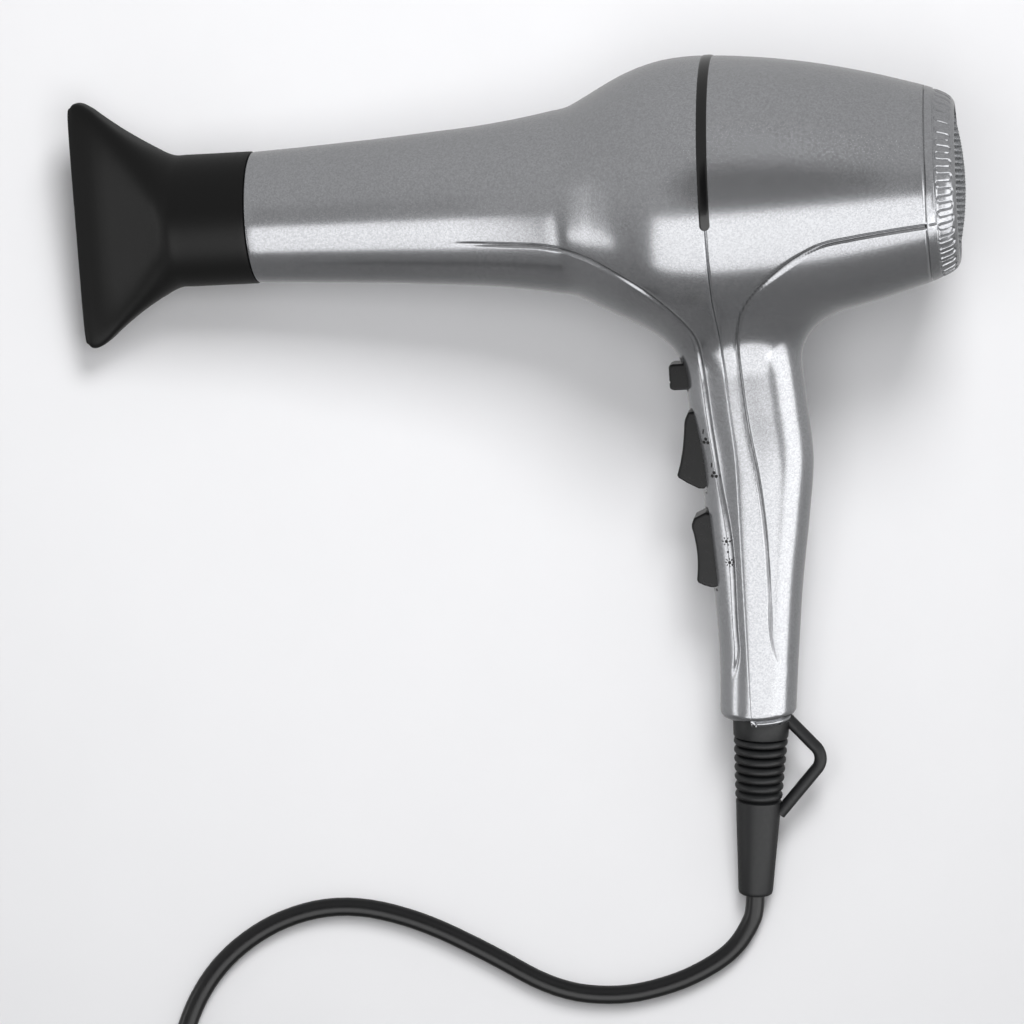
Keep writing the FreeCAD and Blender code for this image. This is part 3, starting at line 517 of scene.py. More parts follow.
def silver_paint(colour):
    """Fine aluminium flakes in clear lacquer: a soft metallic sheen with tiny sparks, and painted shade in the
    grooves and along the seam.
    """
    material = mottled(
        "silver metallic lacquer on ABS", colour, "#b2b3b6", 90.0, (0.2, 0.23),
        Metallic=0.86, Coat_Weight=0.35, Coat_Roughness=0.1,
    )
    tree = material.node_tree
    principled = tree.nodes["Principled BSDF"]
    base = principled.inputs["Base Color"].links[0].from_socket
    place = add_node(tree, "ShaderNodeTexCoord")
    # Flakes are drawn 0.45 mm across, as coarse as they need to be to show.
    flake = {"Scale": 1 / (0.45 * MM)}
    flakes = add_node(tree, "ShaderNodeTexVoronoi", flake, {"Vector": place.outputs["Object"]})
    spark = add_node(tree, "ShaderNodeSeparateColor", None, {"Color": flakes.outputs["Color"]})
    level = add_node(
        tree,
        "ShaderNodeMapRange",
        {"From Min": 0.0, "From Max": 1.0, "To Min": 0.88, "To Max": 1.1},
        {"Value": spark.outputs["Red"]},
    )
    pair = {0: base, 1: level.outputs["Result"]}
    lit = add_node(tree, "ShaderNodeVectorMath", None, pair, operation="MULTIPLY")
    # Painted shade: the base colour is darkened by the groove and seam shade stored on the housing's points.
    line = add_node(tree, "ShaderNodeAttribute", attribute_name="painted_groove_and_seam_shade")
    shade = add_node(
        tree,
        "ShaderNodeMapRange",
        {"From Min": 0.45, "From Max": 1.0, "To Min": 1.0, "To Max": 0.35},
        {"Value": line.outputs["Fac"]},
    )
    pair = {0: lit.outputs[0], 1: shade.outputs["Result"]}
    dark = add_node(tree, "ShaderNodeVectorMath", None, pair, operation="MULTIPLY")
    tree.links.new(dark.outputs[0], principled.inputs["Base Color"])
    relief = {"Strength": 0.09, "Distance": 0.03 * MM}
    lift = add_node(tree, "ShaderNodeBump", relief, {"Height": spark.outputs["Green"]})
    tree.links.new(lift.outputs["Normal"], principled.inputs["Normal"])
    return material


MATERIALS = {}


def make_materials(colours):
    """Every finish of the dryer; sizes are in mm and come from the real grain, strand or tool mark."""
    m = MATERIALS
    # Aluminium flakes under lacquer: wide soft highlights.
    m["paint"] = silver_paint(colours.silver)
    # Glass-filled nylon, moulded in an eroded tool: even, soft black.
    m["nozzle"] = mottled(
        "black glass-filled nylon, eroded mould", "#050505", "#0a0a0a", 0.7, (0.42, 0.5), 0.02,
        Specular_IOR_Level=0.3,
    )
    # Polished ABS: a clear, dark shine.
    m["gloss"] = mottled("black polished ABS", "#040404", "#070707", 30.0, (0.14, 0.2), Coat_Weight=0.3)
    # Switch caps in satin ABS.
    m["switch"] = mottled(
        "black satin ABS", "#050506", "#0a0a0b", 2.0, (0.26, 0.34), 0.005, Specular_IOR_Level=0.35
    )
    # Thermoplastic rubber: dull, slightly grey black.
    m["rubber"] = mottled("black thermoplastic rubber", "#0c0d0e", "#131416", 1.2, (0.45, 0.55), 0.02)
    # Extruded PVC: smooth with a long soft highlight.
    m["sheath"] = mottled("black extruded PVC", "#070708", "#0c0c0e", 3.0, (0.3, 0.38), 0.01)
    # Moulded PVC of the plug: duller than the lead.
    m["plug"] = mottled("black moulded PVC", "#090909", "#0f0f10", 1.0, (0.42, 0.52), 0.03)
    # Drawn stainless wire: bright strands.
    m["steel"] = mottled("drawn stainless steel wire", "#8d8f92", "#c9cbce", 0.6, (0.22, 0.36), Metallic=1.0)
    # Nickel plate, slightly warm from the brass below it.
    m["nickel"] = mottled("nickel-plated brass", "#b9b4a8", "#cfcac0", 2.5, (0.16, 0.26), Metallic=1.0)
    # Parts inside: pressed mica, resistance wire, plated steel, nylon, laminations, copper and castings.
    m["mica"] = mottled("pressed mica sheet", "#8a7450", "#c2ab80", 3.0, (0.35, 0.6), 0.05, (1, 1, 3))
    m["wire"] = mottled("oxidised nickel-chrome wire", "#4b4440", "#7a7068", 0.8, (0.35, 0.5), Metallic=1.0)
    m["plated"] = mottled("zinc-plated pressed steel", "#8f9396", "#b4b8ba", 6.0, (0.25, 0.4), Metallic=1.0)
    m["nylon"] = mottled("grey heat-resistant nylon", "#4d4f51", "#5c5e60", 1.5, (0.45, 0.6), 0.03)
    m["core"] = mottled(
        "stacked silicon steel", "#55585b", "#85888b", 1.2, (0.3, 0.5), 0.03, (0.2, 1, 1), Metallic=1.0
    )
    m["copper"] = mottled(
        "enamelled copper wire", "#8a3f1d", "#b8602f", 0.7, (0.2, 0.35), 0.04, Metallic=1.0
    )
    m["alloy"] = mottled("die-cast zinc alloy", "#8b8d8f", "#a8aaac", 2.0, (0.35, 0.5), 0.04, Metallic=1.0)
    m["brass"] = mottled("drawn brass", "#a8873f", "#c9a75a", 1.5, (0.22, 0.36), Metallic=1.0)
    m["carbon"] = mottled("pressed carbon", "#1b1b1c", "#2b2b2d", 0.5, (0.5, 0.7), 0.03)
    m["sleeve"] = mottled("silicone-coated glass sleeve", "#c9c3b4", "#e0dbcd", 0.8, (0.5, 0.7), 0.04)
    # Pad-printed ink, very slightly worn.
    m["ink"] = mottled("black pad-printing ink", "#0a0a0a", "#151515", 0.6, (0.4, 0.55))
    m["floor"] = mottled("pale matt studio board", "#e3e3e5", "#e8e8ea", 60.0, (0.75, 0.85))


# Material of each part that is shown as it is in the frame.
INSIDE = {
    "plated": ["thermostat", "motor_bearings", "clamp_screws", "button_spring", "rocker_pins", "fan_nut"],
    "steel": ["outlet_grille", "motor_shaft"],
    "mica": ["heater_frame"],
    "wire": ["heating_coil"],
    "sleeve": ["heater_sleeve", "wiring_loom"],
    "nylon": ["fan_duct", "fan_impeller", "terminal_block", "cord_clamp", "filter_frame"],
    "rubber": ["duct_dampers"],
    "core": ["motor_stator", "motor_armature"],
    "copper": ["field_coils"],
    "alloy": ["motor_rear_bracket", "motor_front_bracket"],
    "brass": ["brush_holders", "thermal_fuse", "commutator"],
    "carbon": ["carbon_brushes"],
    "switch": ["speed_switch", "heat_switch", "cool_switch"],
    "sheath": ["cord_lead_in"],
}

# ---------------------------------------------------------------- sizes and colours


def length_property(name, description, size):
    """A length in the panel, with its default in mm."""
    return bpy.props.FloatProperty(
        name=name, description=description, default=size * MM, unit="LENGTH", precision=5
    )


class DryerSizes(bpy.types.PropertyGroup):
    """Sizes that set how the dryer's surface is finished."""

    wall: length_property("Wall", "Thickness of the housing", 2.0)
    groove_depth: length_property("Groove depth", "Depth of the styling grooves", 0.75)
    groove_half: length_property("Groove half width", "Half width of the grooves", 1.3)
    cord_width: length_property("Lead diameter", "Outside diameter of the lead", 6.9)
    cap_lobes: bpy.props.IntProperty(name="Grip lobes", description="Lobes round the filter cap", default=40)
    mesh_pitch: length_property("Filter pitch", "Wire spacing of the filter", 1.5)


class DryerColours(bpy.types.PropertyGroup):
    """Colours of the visible finishes."""

    silver: bpy.props.StringProperty(name="Silver", description="Lacquer colour, sRGB hex", default="#a8a9ac")


# ---------------------------------------------------------------- pieces


def lamp(name, at, size, power, aim=(0.0, 0.0, 0.0)):
    """Soft rectangular studio light that faces a point below it."""
    data = bpy.data.lights.new(name, "AREA")
    data.shape = "RECTANGLE"
    data.size, data.size_y = size
    data.energy = power
    light = bpy.data.objects.new(name, data)
    light.visible_camera = False
    bpy.context.scene.collection.objects.link(light)
    ahead = np.array(aim) - np.array(at)
    ahead = ahead / np.linalg.norm(ahead)
    light.location = at
    turn = math.atan2(-ahead[0], ahead[1]) if np.hypot(ahead[0], ahead[1]) > 1e-6 else 0.0
    light.rotation_euler = (math.acos(-ahead[2]), 0.0, turn)
    return light


class DRYER_OT_stage(bpy.types.Operator):
    """Camera above the dryer, a pale floor and soft studio lights"""

    bl_idname = "dryer.stage"
    bl_label = "Stage"

    def execute(self, context):
        scene = context.scene
        data = bpy.data.cameras.new("camera")
        data.sensor_fit = "HORIZONTAL"
        data.angle = 2 * math.atan(512 / 4244)
        data.clip_start, data.clip_end = 0.05, 20.0
        camera = bpy.data.objects.new("camera", data)
        scene.collection.objects.link(camera)
        camera.location = (-6.0 * MM, -7.6 * MM, 1577.9 * MM)
        camera.rotation_euler = (0.0, 0.0, math.radians(-2.33))
        scene.camera = camera
        steps = np.linspace(-2.5, 2.5, 3)
        x, y = np.meshgrid(steps, steps, indexing="ij")
        points = np.stack([x, y, 0 * x], axis=-1).reshape(-1, 3)
        mesh = bpy.data.meshes.new("floor")
        mesh.from_pydata(points.tolist(), [], grid_faces(3, 3)[:, ::-1].tolist())
        mesh.materials.append(MATERIALS["floor"])
        floor = bpy.data.objects.new("floor", mesh)
        scene.collection.objects.link(floor)
        floor.visible_glossy = False
        # Three softboxes make the highlights and leave the floor alone.
        for name, at, size, power in (
            ("low softbox", (0.08, -0.78, 0.90), (1.7, 1.15), 11.0),
            ("left strip", (-1.05, -0.15, 0.20), (0.9, 0.28), 1.5),
            ("right softbox", (0.95, -0.35, 0.42), (0.9, 0.7), 4.0),
        ):
            lamp(name, at, size, power, (0.0, 0.0, 0.03)).visible_diffuse = False
        # These light the floor, from above the barrel and from overhead, and leave no highlight.
        lamp("key", (0.25, 0.85, 1.15), (0.55, 0.55), 13.5).visible_glossy = False
        lamp("fill", (-0.02, 0.02, 0.60), (0.35, 0.35), 1.45, (-0.02, 0.02, 0.0)).visible_glossy = False
        scene.view_settings.view_transform = "Standard"
        world = bpy.data.worlds.new("studio")
        scene.world = world
        world.use_nodes = True
        tree = world.node_tree
        place = add_node(tree, "ShaderNodeTexCoord")
        parts = add_node(tree, "ShaderNodeSeparateXYZ", None, {"Vector": place.outputs["Generated"]})
        # A grey room that is darker straight overhead, and below the horizon on the handle's side.
        overhead = add_node(
            tree,
            "ShaderNodeMapRange",
            {"From Min": 0.88, "From Max": 0.985, "To Min": 0.46, "To Max": 0.08},
            {"Value": parts.outputs["Z"]},
            interpolation_type="SMOOTHSTEP",
        )
        handle_side = add_node(
            tree,
            "ShaderNodeMapRange",
            {"From Min": -0.9, "From Max": 0.1, "To Min": 0.42, "To Max": 1.0},
            {"Value": parts.outputs["Y"]},
            interpolation_type="SMOOTHSTEP",
        )
        pair = {0: overhead.outputs["Result"], 1: handle_side.outputs["Result"]}
        level = add_node(tree, "ShaderNodeMath", None, pair, operation="MULTIPLY").outputs[0]
        grey = {"Red": level, "Green": level, "Blue": level}
        shade = add_node(tree, "ShaderNodeCombineColor", None, grey)
        tree.links.new(shade.outputs["Color"], tree.nodes["Background"].inputs["Color"])
        tree.nodes["Background"].inputs["Strength"].default_value = 1.0
        return {"FINISHED"}


# Height of the lead's middle where it lies on the table.
REST = 3.5
CORD_START = to_row(RELIEF_TOP + RELIEF_DOWN * RELIEF_LENGTH)
# The lead on the table, as x, y and height in mm: away from the sleeve, round the view's corner to its coil.
CORD_RUN = [
    (76.6, -163.0, 4.4), (70.6, -172.3, REST), (61.0, -179.0, REST), (46.5, -185.2, REST),
    (26.0, -189.0, REST), (3.0, -185.5, REST), (-22.0, -170.0, REST), (-48.0, -156.5, REST),
    (-74.0, -150.0, REST), (-98.0, -154.5, REST), (-118.0, -167.0, REST), (-131.0, -184.0, REST),
    (-138.0, -205.0, REST), (-141.0, -229.0, REST),
]
COIL_CENTRE = (-102.5, -262.0)
COIL_PITCH = 6.95
COIL_MIDDLE = 38.9
COIL_STEPS = 16
# Turns as they are wound, as lanes out from the middle one and layers up: in, out, in, and one on top.
COIL_TURNS = [(1, 0), (0, 0), (-1, 0), (-1, 1), (0, 1), (1, 1), (1, 2), (0, 2), (0.5, 2.9)]
CORD_TAIL = [
    (-146.5, -277.0, 23.9), (-140.0, -294.5, 24.6), (-129.0, -308.5, 22.5), (-114.0, -317.5, 15.5),
    (-97.0, -320.0, 6.5), (-78.0, -317.0, REST), (-60.0, -310.5, 4.2), (-42.0, -304.0, 9.5),
    (-24.0, -300.3, 15.2), (-14.0, -299.5, 17.2), (-2.0, -299.5, 17.6),
]
PLUG_AT = (-6.0, -299.5, 17.6)
PIN_OFFSET = 9.5


def coil_points():
    """Round turns a diameter apart, each easing sideways or up into the next over its whole length."""
    points = []
    for (lane, layer), (next_lane, next_layer) in zip(COIL_TURNS, COIL_TURNS[1:] + COIL_TURNS[-1:]):
        for step in range(COIL_STEPS):
            share = step / COIL_STEPS
            ease = share**3 * (10 - 15 * share + 6 * share * share)
            radius = COIL_MIDDLE + COIL_PITCH * (lane + (next_lane - lane) * ease)
            level = REST + COIL_PITCH * (layer + (next_layer - layer) * ease)
            angle = math.pi + 2 * math.pi * share
            x = COIL_CENTRE[0] + radius * math.cos(angle)
            y = COIL_CENTRE[1] + radius * math.sin(angle)
            points.append((x, y, level))
    return points


class DRYER_OT_cord(bpy.types.Operator):
    """The lead: out of its sleeve, along the table and into its coil, with its plug beside it"""

    bl_idname = "dryer.cord"
    bl_label = "Lead"

    def execute(self, context):
        sizes = context.scene.dryer_sizes
        start = [tuple(p / MM) for p in (CORD_START, CORD_START + (LAID @ RELIEF_DOWN) * 6 * MM)]
        route = start + CORD_RUN + coil_points() + CORD_TAIL
        curve = bpy.data.curves.new("lead", "CURVE")
        curve.dimensions = "3D"
        curve.resolution_u = 6
        curve.bevel_resolution = 4
        curve.bevel_depth = sizes.cord_width / 2
        curve.use_fill_caps = True
        spline = curve.splines.new("NURBS")
        spline.points.add(len(route) - 1)
        for point, at in zip(spline.points, route):
            point.co = (at[0] * MM, at[1] * MM, at[2] * MM, 1.0)
        spline.order_u = 3
        spline.use_endpoint_u = True
        curve.materials.append(MATERIALS["sheath"])
        lead = bpy.data.objects.new("lead", curve)
        context.scene.collection.objects.link(lead)
        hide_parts("cord_tube", "cord_coil", "cord_tail")
        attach(lead, "housing")
        return {"FINISHED"}


class DRYER_OT_plug(bpy.types.Operator):
    """Moulded mains plug with two round pins, lying on its rim"""

    bl_idname = "dryer.plug"
    bl_label = "Plug"

    def execute(self, context):
        centre = np.array(PLUG_AT)
        # Ribbed neck, a waisted grip and a round face with a softly rounded edge.
        neck = [(-1, 0), (-1, 4.2), (0, 4.8)]
        for rib in range(4):
            at = 1.0 + 3.0 * rib
            radius = 5.3 + 0.55 * rib
            neck += [(at, radius - 0.9), (at + 0.4, radius)]
            neck += [(at + 1.6, radius + 0.25), (at + 2.0, radius - 0.6)]
        waist = [(13.4, 7.4), (16.0, 9.0), (18.5, 12.5), (21.5, 16.0), (25.0, 17.1), (31.0, 17.5)]
        grip = smooth_path(waist, 20)
        edge = [(31 + 1.8 * math.sin(t), 15.7 + 1.8 * math.cos(t)) for t in np.linspace(0.1, math.pi / 2, 6)]
        face = [(33.0, 15.0), (32.6, 14.6), (32.6, 14.0), (34.0, 13.6), (34.0, 0.0)]
        profile = neck + [tuple(p) for p in grip] + edge + face
        points, faces = turned(profile, centre, (1, 0, 0), 96)
        body = piece_from("plug", points, faces, MATERIALS["plug"], row=True)
        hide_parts("plug_body")
        # A pin is a sleeved half, then a bare half with a rounded tip.
        pin = [(33.6, 0.0), (33.6, 2.4), (43.5, 2.4), (43.6, 2.0)]
        pin += [(51.2, 2.0), (52.4, 1.3), (53.0, 0.5), (53.0, 0.0)]
        left, faces = turned(pin, centre - np.array([0, PIN_OFFSET, 0]), (1, 0, 0), 32)
        right, _ = turned(pin, centre + np.array([0, PIN_OFFSET, 0]), (1, 0, 0), 32)
        points, faces = np.concatenate([left, right]), np.concatenate([faces, faces + len(left)])
        pins = piece_from("plug_pins_bright", points, faces, MATERIALS["nickel"], row=True)
        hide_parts("plug_pins")
        return {"FINISHED"}


SEAM_DEPTH = 0.2
# How strongly painted shade darkens the seam.
SEAM_PAINTED_SHADE = 0.62


class DRYER_OT_housing(bpy.types.Operator):
    """Front and rear shells of the housing, with their grooves, seam and switch windows"""

    bl_idname = "dryer.housing"
    bl_label = "Housing"

    def execute(self, context):
        sizes = context.scene.dryer_sizes
        points, quads, front, seam, plain = skin_mesh()
        outward = field_slope(points)
        outward /= np.maximum(np.linalg.norm(outward, axis=1, keepdims=True), 1e-6)
        half = sizes.groove_half / MM
        depth = np.zeros(len(points))
        # The front groove fades in along its first tenth, and both fade out near the handle's end.
        for groove, starts_in in ((FRONT_GROOVE, 0.10), (REAR_GROOVE, 0.0)):
            distance, share = groove_distance(points, groove)
            fade = smooth_step(share, 0.0, starts_in) if starts_in else 1.0
            fade = fade * (1 - smooth_step(share, 0.92, 1.0))
            depth = np.maximum(depth, fade * (1 - smooth_step(distance, 0.0, half)))
        depth[plain] = 0
        # The seam is a line pressed into the surface and darkened with painted shade, both fainter down the
        # handle.
        seam_share = np.zeros(len(points))
        seam_share[seam] = 1 - 0.8 * smooth_step(-points[seam, 1], 52, 70)
        depth_mm = np.maximum(depth * sizes.groove_depth / MM, seam_share * SEAM_DEPTH)
        # Painted shade: how much the paint colour is darkened in the grooves and on the seam.
        line = np.maximum(depth, seam_share * SEAM_PAINTED_SHADE)
        moved = points - outward * depth_mm[:, None]
        shells = (("front_housing", front, "front_shell"), ("rear_housing", ~front, "rear_shell"))
        for name, chosen, node in shells:
            used, renumbered = np.unique(quads[chosen], return_inverse=True)
            faces = renumbered.reshape(-1, 4)
            piece = piece_from(name, moved[used], faces, MATERIALS["paint"], sharp=60.0, close=False)
            # The painted shade of the grooves and the seam, read by the paint's colour.
            store = piece.data.attributes.new("painted_groove_and_seam_shade", "FLOAT", "POINT")
            store.data.foreach_set("value", line[used].astype(np.float32))
            wall = piece.modifiers.new("wall", "SOLIDIFY")
            wall.thickness = sizes.wall
            wall.offset = -1.0
            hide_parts(node)
        return {"FINISHED"}


def strip_outline(length, half):
    """Half width of a round-ended strip at each distance from its end."""
    end = half * (1 - np.cos(np.linspace(0, np.pi / 2, 7)))
    along = np.concatenate([end, np.linspace(half, length / 2, 40)[1:]])
    along = np.concatenate([along, length - along[-2::-1]])
    near = np.minimum(along, length - along)
    return along, np.where(near < half, np.sqrt(np.clip(half**2 - (half - near) ** 2, 0, None)), half)


class DRYER_OT_band(bpy.types.Operator):
    """Gloss black band over the barrel, a strip with round ends and a low crown"""

    bl_idname = "dryer.band"
    bl_label = "Accent band"

    def execute(self, context):
        sweep, radius, bed = math.radians(198), 50.0, 48.8
        along, half = strip_outline(sweep * radius, 1.9)
        angle = (along / radius - sweep / 2)[:, None]
        across = np.linspace(-1, 1, 11)
        x = SEAM_X + half[:, None] * across[None]
        crown = radius + 0.02 - 0.3 * across**4
        top = np.stack([x, crown * np.cos(angle), crown * np.sin(angle)], axis=-1)
        low = top.copy()
        low[..., 1:] *= (bed / crown)[None, :, None]
        points = np.concatenate([top, low[:, ::-1]], axis=1)
        faces = grid_faces(len(along), points.shape[1], wrap=True)
        piece = piece_from("gloss_band", points.reshape(-1, 3), faces, MATERIALS["gloss"], sharp=40)
        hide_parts("accent_band")
        return {"FINISHED"}


# Nozzle stations as x, half width and half thickness.
NOZZLE = np.array(
    [
        (-229.4, 43.6, 5.9), (-228.6, 44.6, 6.1), (-226.8, 45.1, 6.4), (-224.8, 44.6, 6.7),
        (-222.0, 42.9, 7.4), (-218.0, 39.6, 9.0), (-212.5, 35.3, 12.0), (-206.0, 30.9, 16.0),
        (-199.0, 26.9, 20.6), (-195.0, 24.9, 23.2),
        (-192.6, 24.15, 24.1), (-188.0, 24.1, 24.1), (-164.0, 24.1, 24.1),
    ]
)


class DRYER_OT_nozzle(bpy.types.Operator):
    """Fan nozzle: a superellipse that widens from a round collar to a flat slot, with a rounded lip"""

    bl_idname = "dryer.nozzle"
    bl_label = "Nozzle"

    def execute(self, context):
        sides, wall, bore_radius, lip_at, collar_at = 192, 1.4, 21.7, -229.4, -190
        flare, collar = np.linspace(lip_at, collar_at, 64), np.linspace(collar_at, -164.5, 16)[1:]
        x = np.concatenate([flare, collar, [-164.15, -164.0]])
        wide = smooth_curve(NOZZLE[:, 0], NOZZLE[:, 1], x)
        thick = smooth_curve(NOZZLE[:, 0], NOZZLE[:, 2], x)
        # The collar's last two rows round its edge over.
        wide[-2:] -= [0.1, 0.4]
        thick[-2:] -= [0.1, 0.4]
        lip = np.linspace(0, np.pi, 9)[1:-1]
        lip_x = lip_at - wall / 2 * np.sin(lip)
        lip_in = wall / 2 * (1 - np.cos(lip))
        inner_x = x[:-2]
        bore = np.where(inner_x > collar_at, bore_radius, wide[:-2] - wall)
        bore_thick = np.where(inner_x > collar_at, bore_radius, thick[:-2] - wall)
        all_x = np.concatenate([x[::-1], lip_x, inner_x, [-164.0]])
        all_wide = np.concatenate([wide[::-1], wide[0] - lip_in, bore, [22.1]])
        all_thick = np.concatenate([thick[::-1], thick[0] - lip_in, bore_thick, [22.1]])
        power = 2 / (2 + 4 * (1 - np.clip(all_thick / all_wide, 0, 1)) ** 1.5)
        angle = np.linspace(0, 2 * np.pi, sides, endpoint=False)
        # Even steps round a superellipse bunch up, so the angle is spread by the flattening.
        stretch = (all_wide / all_thick)[:, None] ** 0.5
        spread = np.arctan2(np.sin(angle)[None] * stretch, np.cos(angle)[None])
        c, s = np.cos(spread), np.sin(spread)
        y = all_wide[:, None] * np.sign(c) * np.abs(c) ** power[:, None]
        z = all_thick[:, None] * np.sign(s) * np.abs(s) ** power[:, None]
        points = np.stack([np.broadcast_to(all_x[:, None], y.shape), y, z], axis=-1)
        closed = np.concatenate([points, points[:1]])
        faces = grid_faces(len(closed), sides, wrap=True)
        piece = piece_from("nozzle", closed.reshape(-1, 3), faces, MATERIALS["nozzle"], "nozzle", sharp=38)
        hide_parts("concentrator_nozzle")
        return {"FINISHED"}


# Filter cap as x and radius: its outside, and its rim, bore and skirt.
CAP_OUTSIDE = [
    (81.3, 34.9), (83.0, 34.3), (84.3, 33.75), (86.6, 32.75), (88.9, 31.5), (90.0, 30.6), (90.9, 29.4),
]
CAP_INSIDE = [
    (91.3, 28.6), (91.4, 28.0), (91.1, 27.8), (89.0, 27.8), (89.0, 29.7), (85.8, 29.7), (85.8, 30.72),
    (72.0, 30.72), (72.0, 32.92), (81.3, 32.92), (81.3, 34.9),
]
# The cap's grip: the radius that its pitch is measured at, where its fingers start and stop along the outside,
# and how deep its lines, its fingers and the ring before them are pressed.
GRIP_RADIUS = 32.6
GRIP_START, GRIP_MIDDLE, GRIP_STOP = 3.7, 6.8, 10.0
LINE_DEPTH, FINGER_DEPTH, RING_DEPTH = 0.34, 0.22, 0.4
RING_AT = 3.1


class DRYER_OT_cap(bpy.types.Operator):
    """Filter cap: a turned ring whose outside carries a serpentine grip line round interlocking fingers"""

    bl_idname = "dryer.cap"
    bl_label = "Filter cap"

    def execute(self, context):
        lobes = context.scene.dryer_sizes.cap_lobes
        sides = lobes * 24
        skin = smooth_path(CAP_OUTSIDE, 64)
        profile = np.concatenate([skin, CAP_INSIDE])
        angle = np.linspace(0, 2 * np.pi, sides, endpoint=False)
        along = np.concatenate([[0], np.cumsum(np.linalg.norm(np.diff(skin, axis=0), axis=1))])
        # Signed distance to the serpentine of round-ended fingers and the round-ended gaps between them.
        phase = angle * lobes / (2 * np.pi) % 1.0
        pitch = 2 * np.pi * GRIP_RADIUS / lobes
        off = np.abs(phase - 0.5) * pitch
        reach = pitch / 4
        u = along[:, None]
        finger = np.hypot(np.clip(GRIP_START + reach - u, 0, None), off[None]) - reach
        gap = -(np.hypot(np.clip(u - (GRIP_STOP - reach), 0, None), pitch / 2 - off[None]) - reach)
        distance = np.where(u < GRIP_MIDDLE, finger, gap)
        line = 1 - smooth_step(np.abs(distance), 0.0, 0.42)
        sunk = smooth_step(distance, -0.3, 0.3) * smooth_step(u, 3.2, 4.2)
        # The ring before the grip turns a corner, towards the rear styling groove.
        groove_at = math.acos(11.4 / 34.6)
        beyond = np.minimum(angle, 2 * np.pi - angle)[None] - groove_at
        ring = (1 - smooth_step(np.abs(u - RING_AT), 0.0, 0.38)) * smooth_step(beyond, -0.012, 0.0)
        ring = np.maximum(ring, (1 - smooth_step(np.abs(beyond) * 34.2, 0.0, 0.5)) * (u < 3.2))
        drop = LINE_DEPTH * line + FINGER_DEPTH * sunk + RING_DEPTH * ring
        slope = np.gradient(skin, axis=0)
        slope /= np.linalg.norm(slope, axis=1, keepdims=True)
        outward = np.stack([-slope[:, 1], slope[:, 0]], axis=1)
        ring_x = np.broadcast_to(profile[:, 0, None], (len(profile), sides)).copy()
        ring_r = np.broadcast_to(profile[:, 1, None], (len(profile), sides)).copy()
        edge = smooth_step(u, 0.0, 0.8) * (1 - smooth_step(u, along[-1] - 0.6, along[-1]))
        ring_x[: len(skin)] -= outward[:, :1] * drop * edge
        ring_r[: len(skin)] -= outward[:, 1:] * drop * edge
        points = np.stack([ring_x, -ring_r * np.cos(angle), ring_r * np.sin(angle)], axis=-1)
        faces = grid_faces(len(profile), sides, wrap=True)
        piece = piece_from("filter_cap", points.reshape(-1, 3), faces, MATERIALS["paint"], "rear_cap", sharp=50)
        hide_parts("rear_cap_ring")
        return {"FINISHED"}


class DRYER_OT_filter(bpy.types.Operator):
    """Woven filter: two sets of round wires that pass over and under each other on a shallow dome"""

    bl_idname = "dryer.filter"
    bl_label = "Woven filter"

    def execute(self, context):
        pitch = context.scene.dryer_sizes.mesh_pitch / MM
        wire, reach, dome = 0.3, 28.2, 97.2
        turn = math.radians(38)
        points, faces, count = [], [], 0
        for way in range(2):
            for k in range(int(-reach / pitch), int(reach / pitch) + 1):
                offset = (k + 0.5) * pitch
                if abs(offset) > reach - 0.6:
                    continue
                length = math.sqrt(reach**2 - offset**2)
                steps = int(np.ceil(length / pitch)) * 8 + 1
                s = np.linspace(-length, length, steps)
                across = np.full(steps, offset)
                u, v = (s, across) if way == 0 else (across, s)
                lift = 0.32 * np.cos(np.pi * (s / pitch - 0.5)) * (-1.0) ** (k + way)
                x = -3.2 + np.sqrt(dome**2 - s**2 - offset**2) + lift - 0.45
                y = u * math.cos(turn) - v * math.sin(turn)
                z = u * math.sin(turn) + v * math.cos(turn)
                side = turn + (math.pi / 2 if way == 0 else 0.0)
                normal = (0, math.cos(side), math.sin(side))
                strand, strand_faces = tube(np.column_stack([x, y, z]), normal, wire, 5)
                points.append(strand)
                faces += [[i + count for i in face] for face in strand_faces]
                count += len(strand)
        points = np.concatenate(points)
        piece = piece_from("woven_filter", points, faces, MATERIALS["steel"], "rear_cap", sharp=70)
        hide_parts("filter_mesh")
        return {"FINISHED"}


# Rockers as outlines in x and y: the outer face, drawn as a smooth curve, and the rest of the cap.
SPEED_OUTER = [(-9.3, -78.0), (-10.5, -80.5), (-11.2, -85.5), (-12.1, -91.8), (-13.3, -97.0), (-14.5, -100.9)]
SPEED_REST = [
    (-14.1, -101.9), (-10.6, -104.2), (-6.9, -106.2), (-5.0, -106.3), (-3.2, -104.8), (-2.6, -97.4),
    (3, -94.6), (3, -89.4), (-2.6, -86.6), (-3.1, -78.6), (-6.0, -77.9),
]
HEAT_OUTER = [(-9.3, -117.0), (-10.3, -119.4), (-9.6, -123.5), (-8.9, -130.0), (-9.0, -135.5), (-9.5, -139.9)]
HEAT_REST = [
    (-9.0, -141.0), (-6.6, -142.2), (-4.2, -142.9), (-1.6, -142.6), (-0.4, -141.2), (0.2, -134.4),
    (5.7, -131.6), (5.7, -126.4), (0.2, -123.6), (-0.4, -116.4), (-5.0, -115.0),
]


def switch_cap(name, points, faces, body, node, sharp=32.0):
    """A cap in satin plastic with even shading over its rounded edges, in place of its node."""
    piece = piece_from(name, points, faces, MATERIALS["switch"], body, sharp=sharp)
    piece.modifiers.new("even shading", "WEIGHTED_NORMAL").keep_sharp = True
    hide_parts(node)


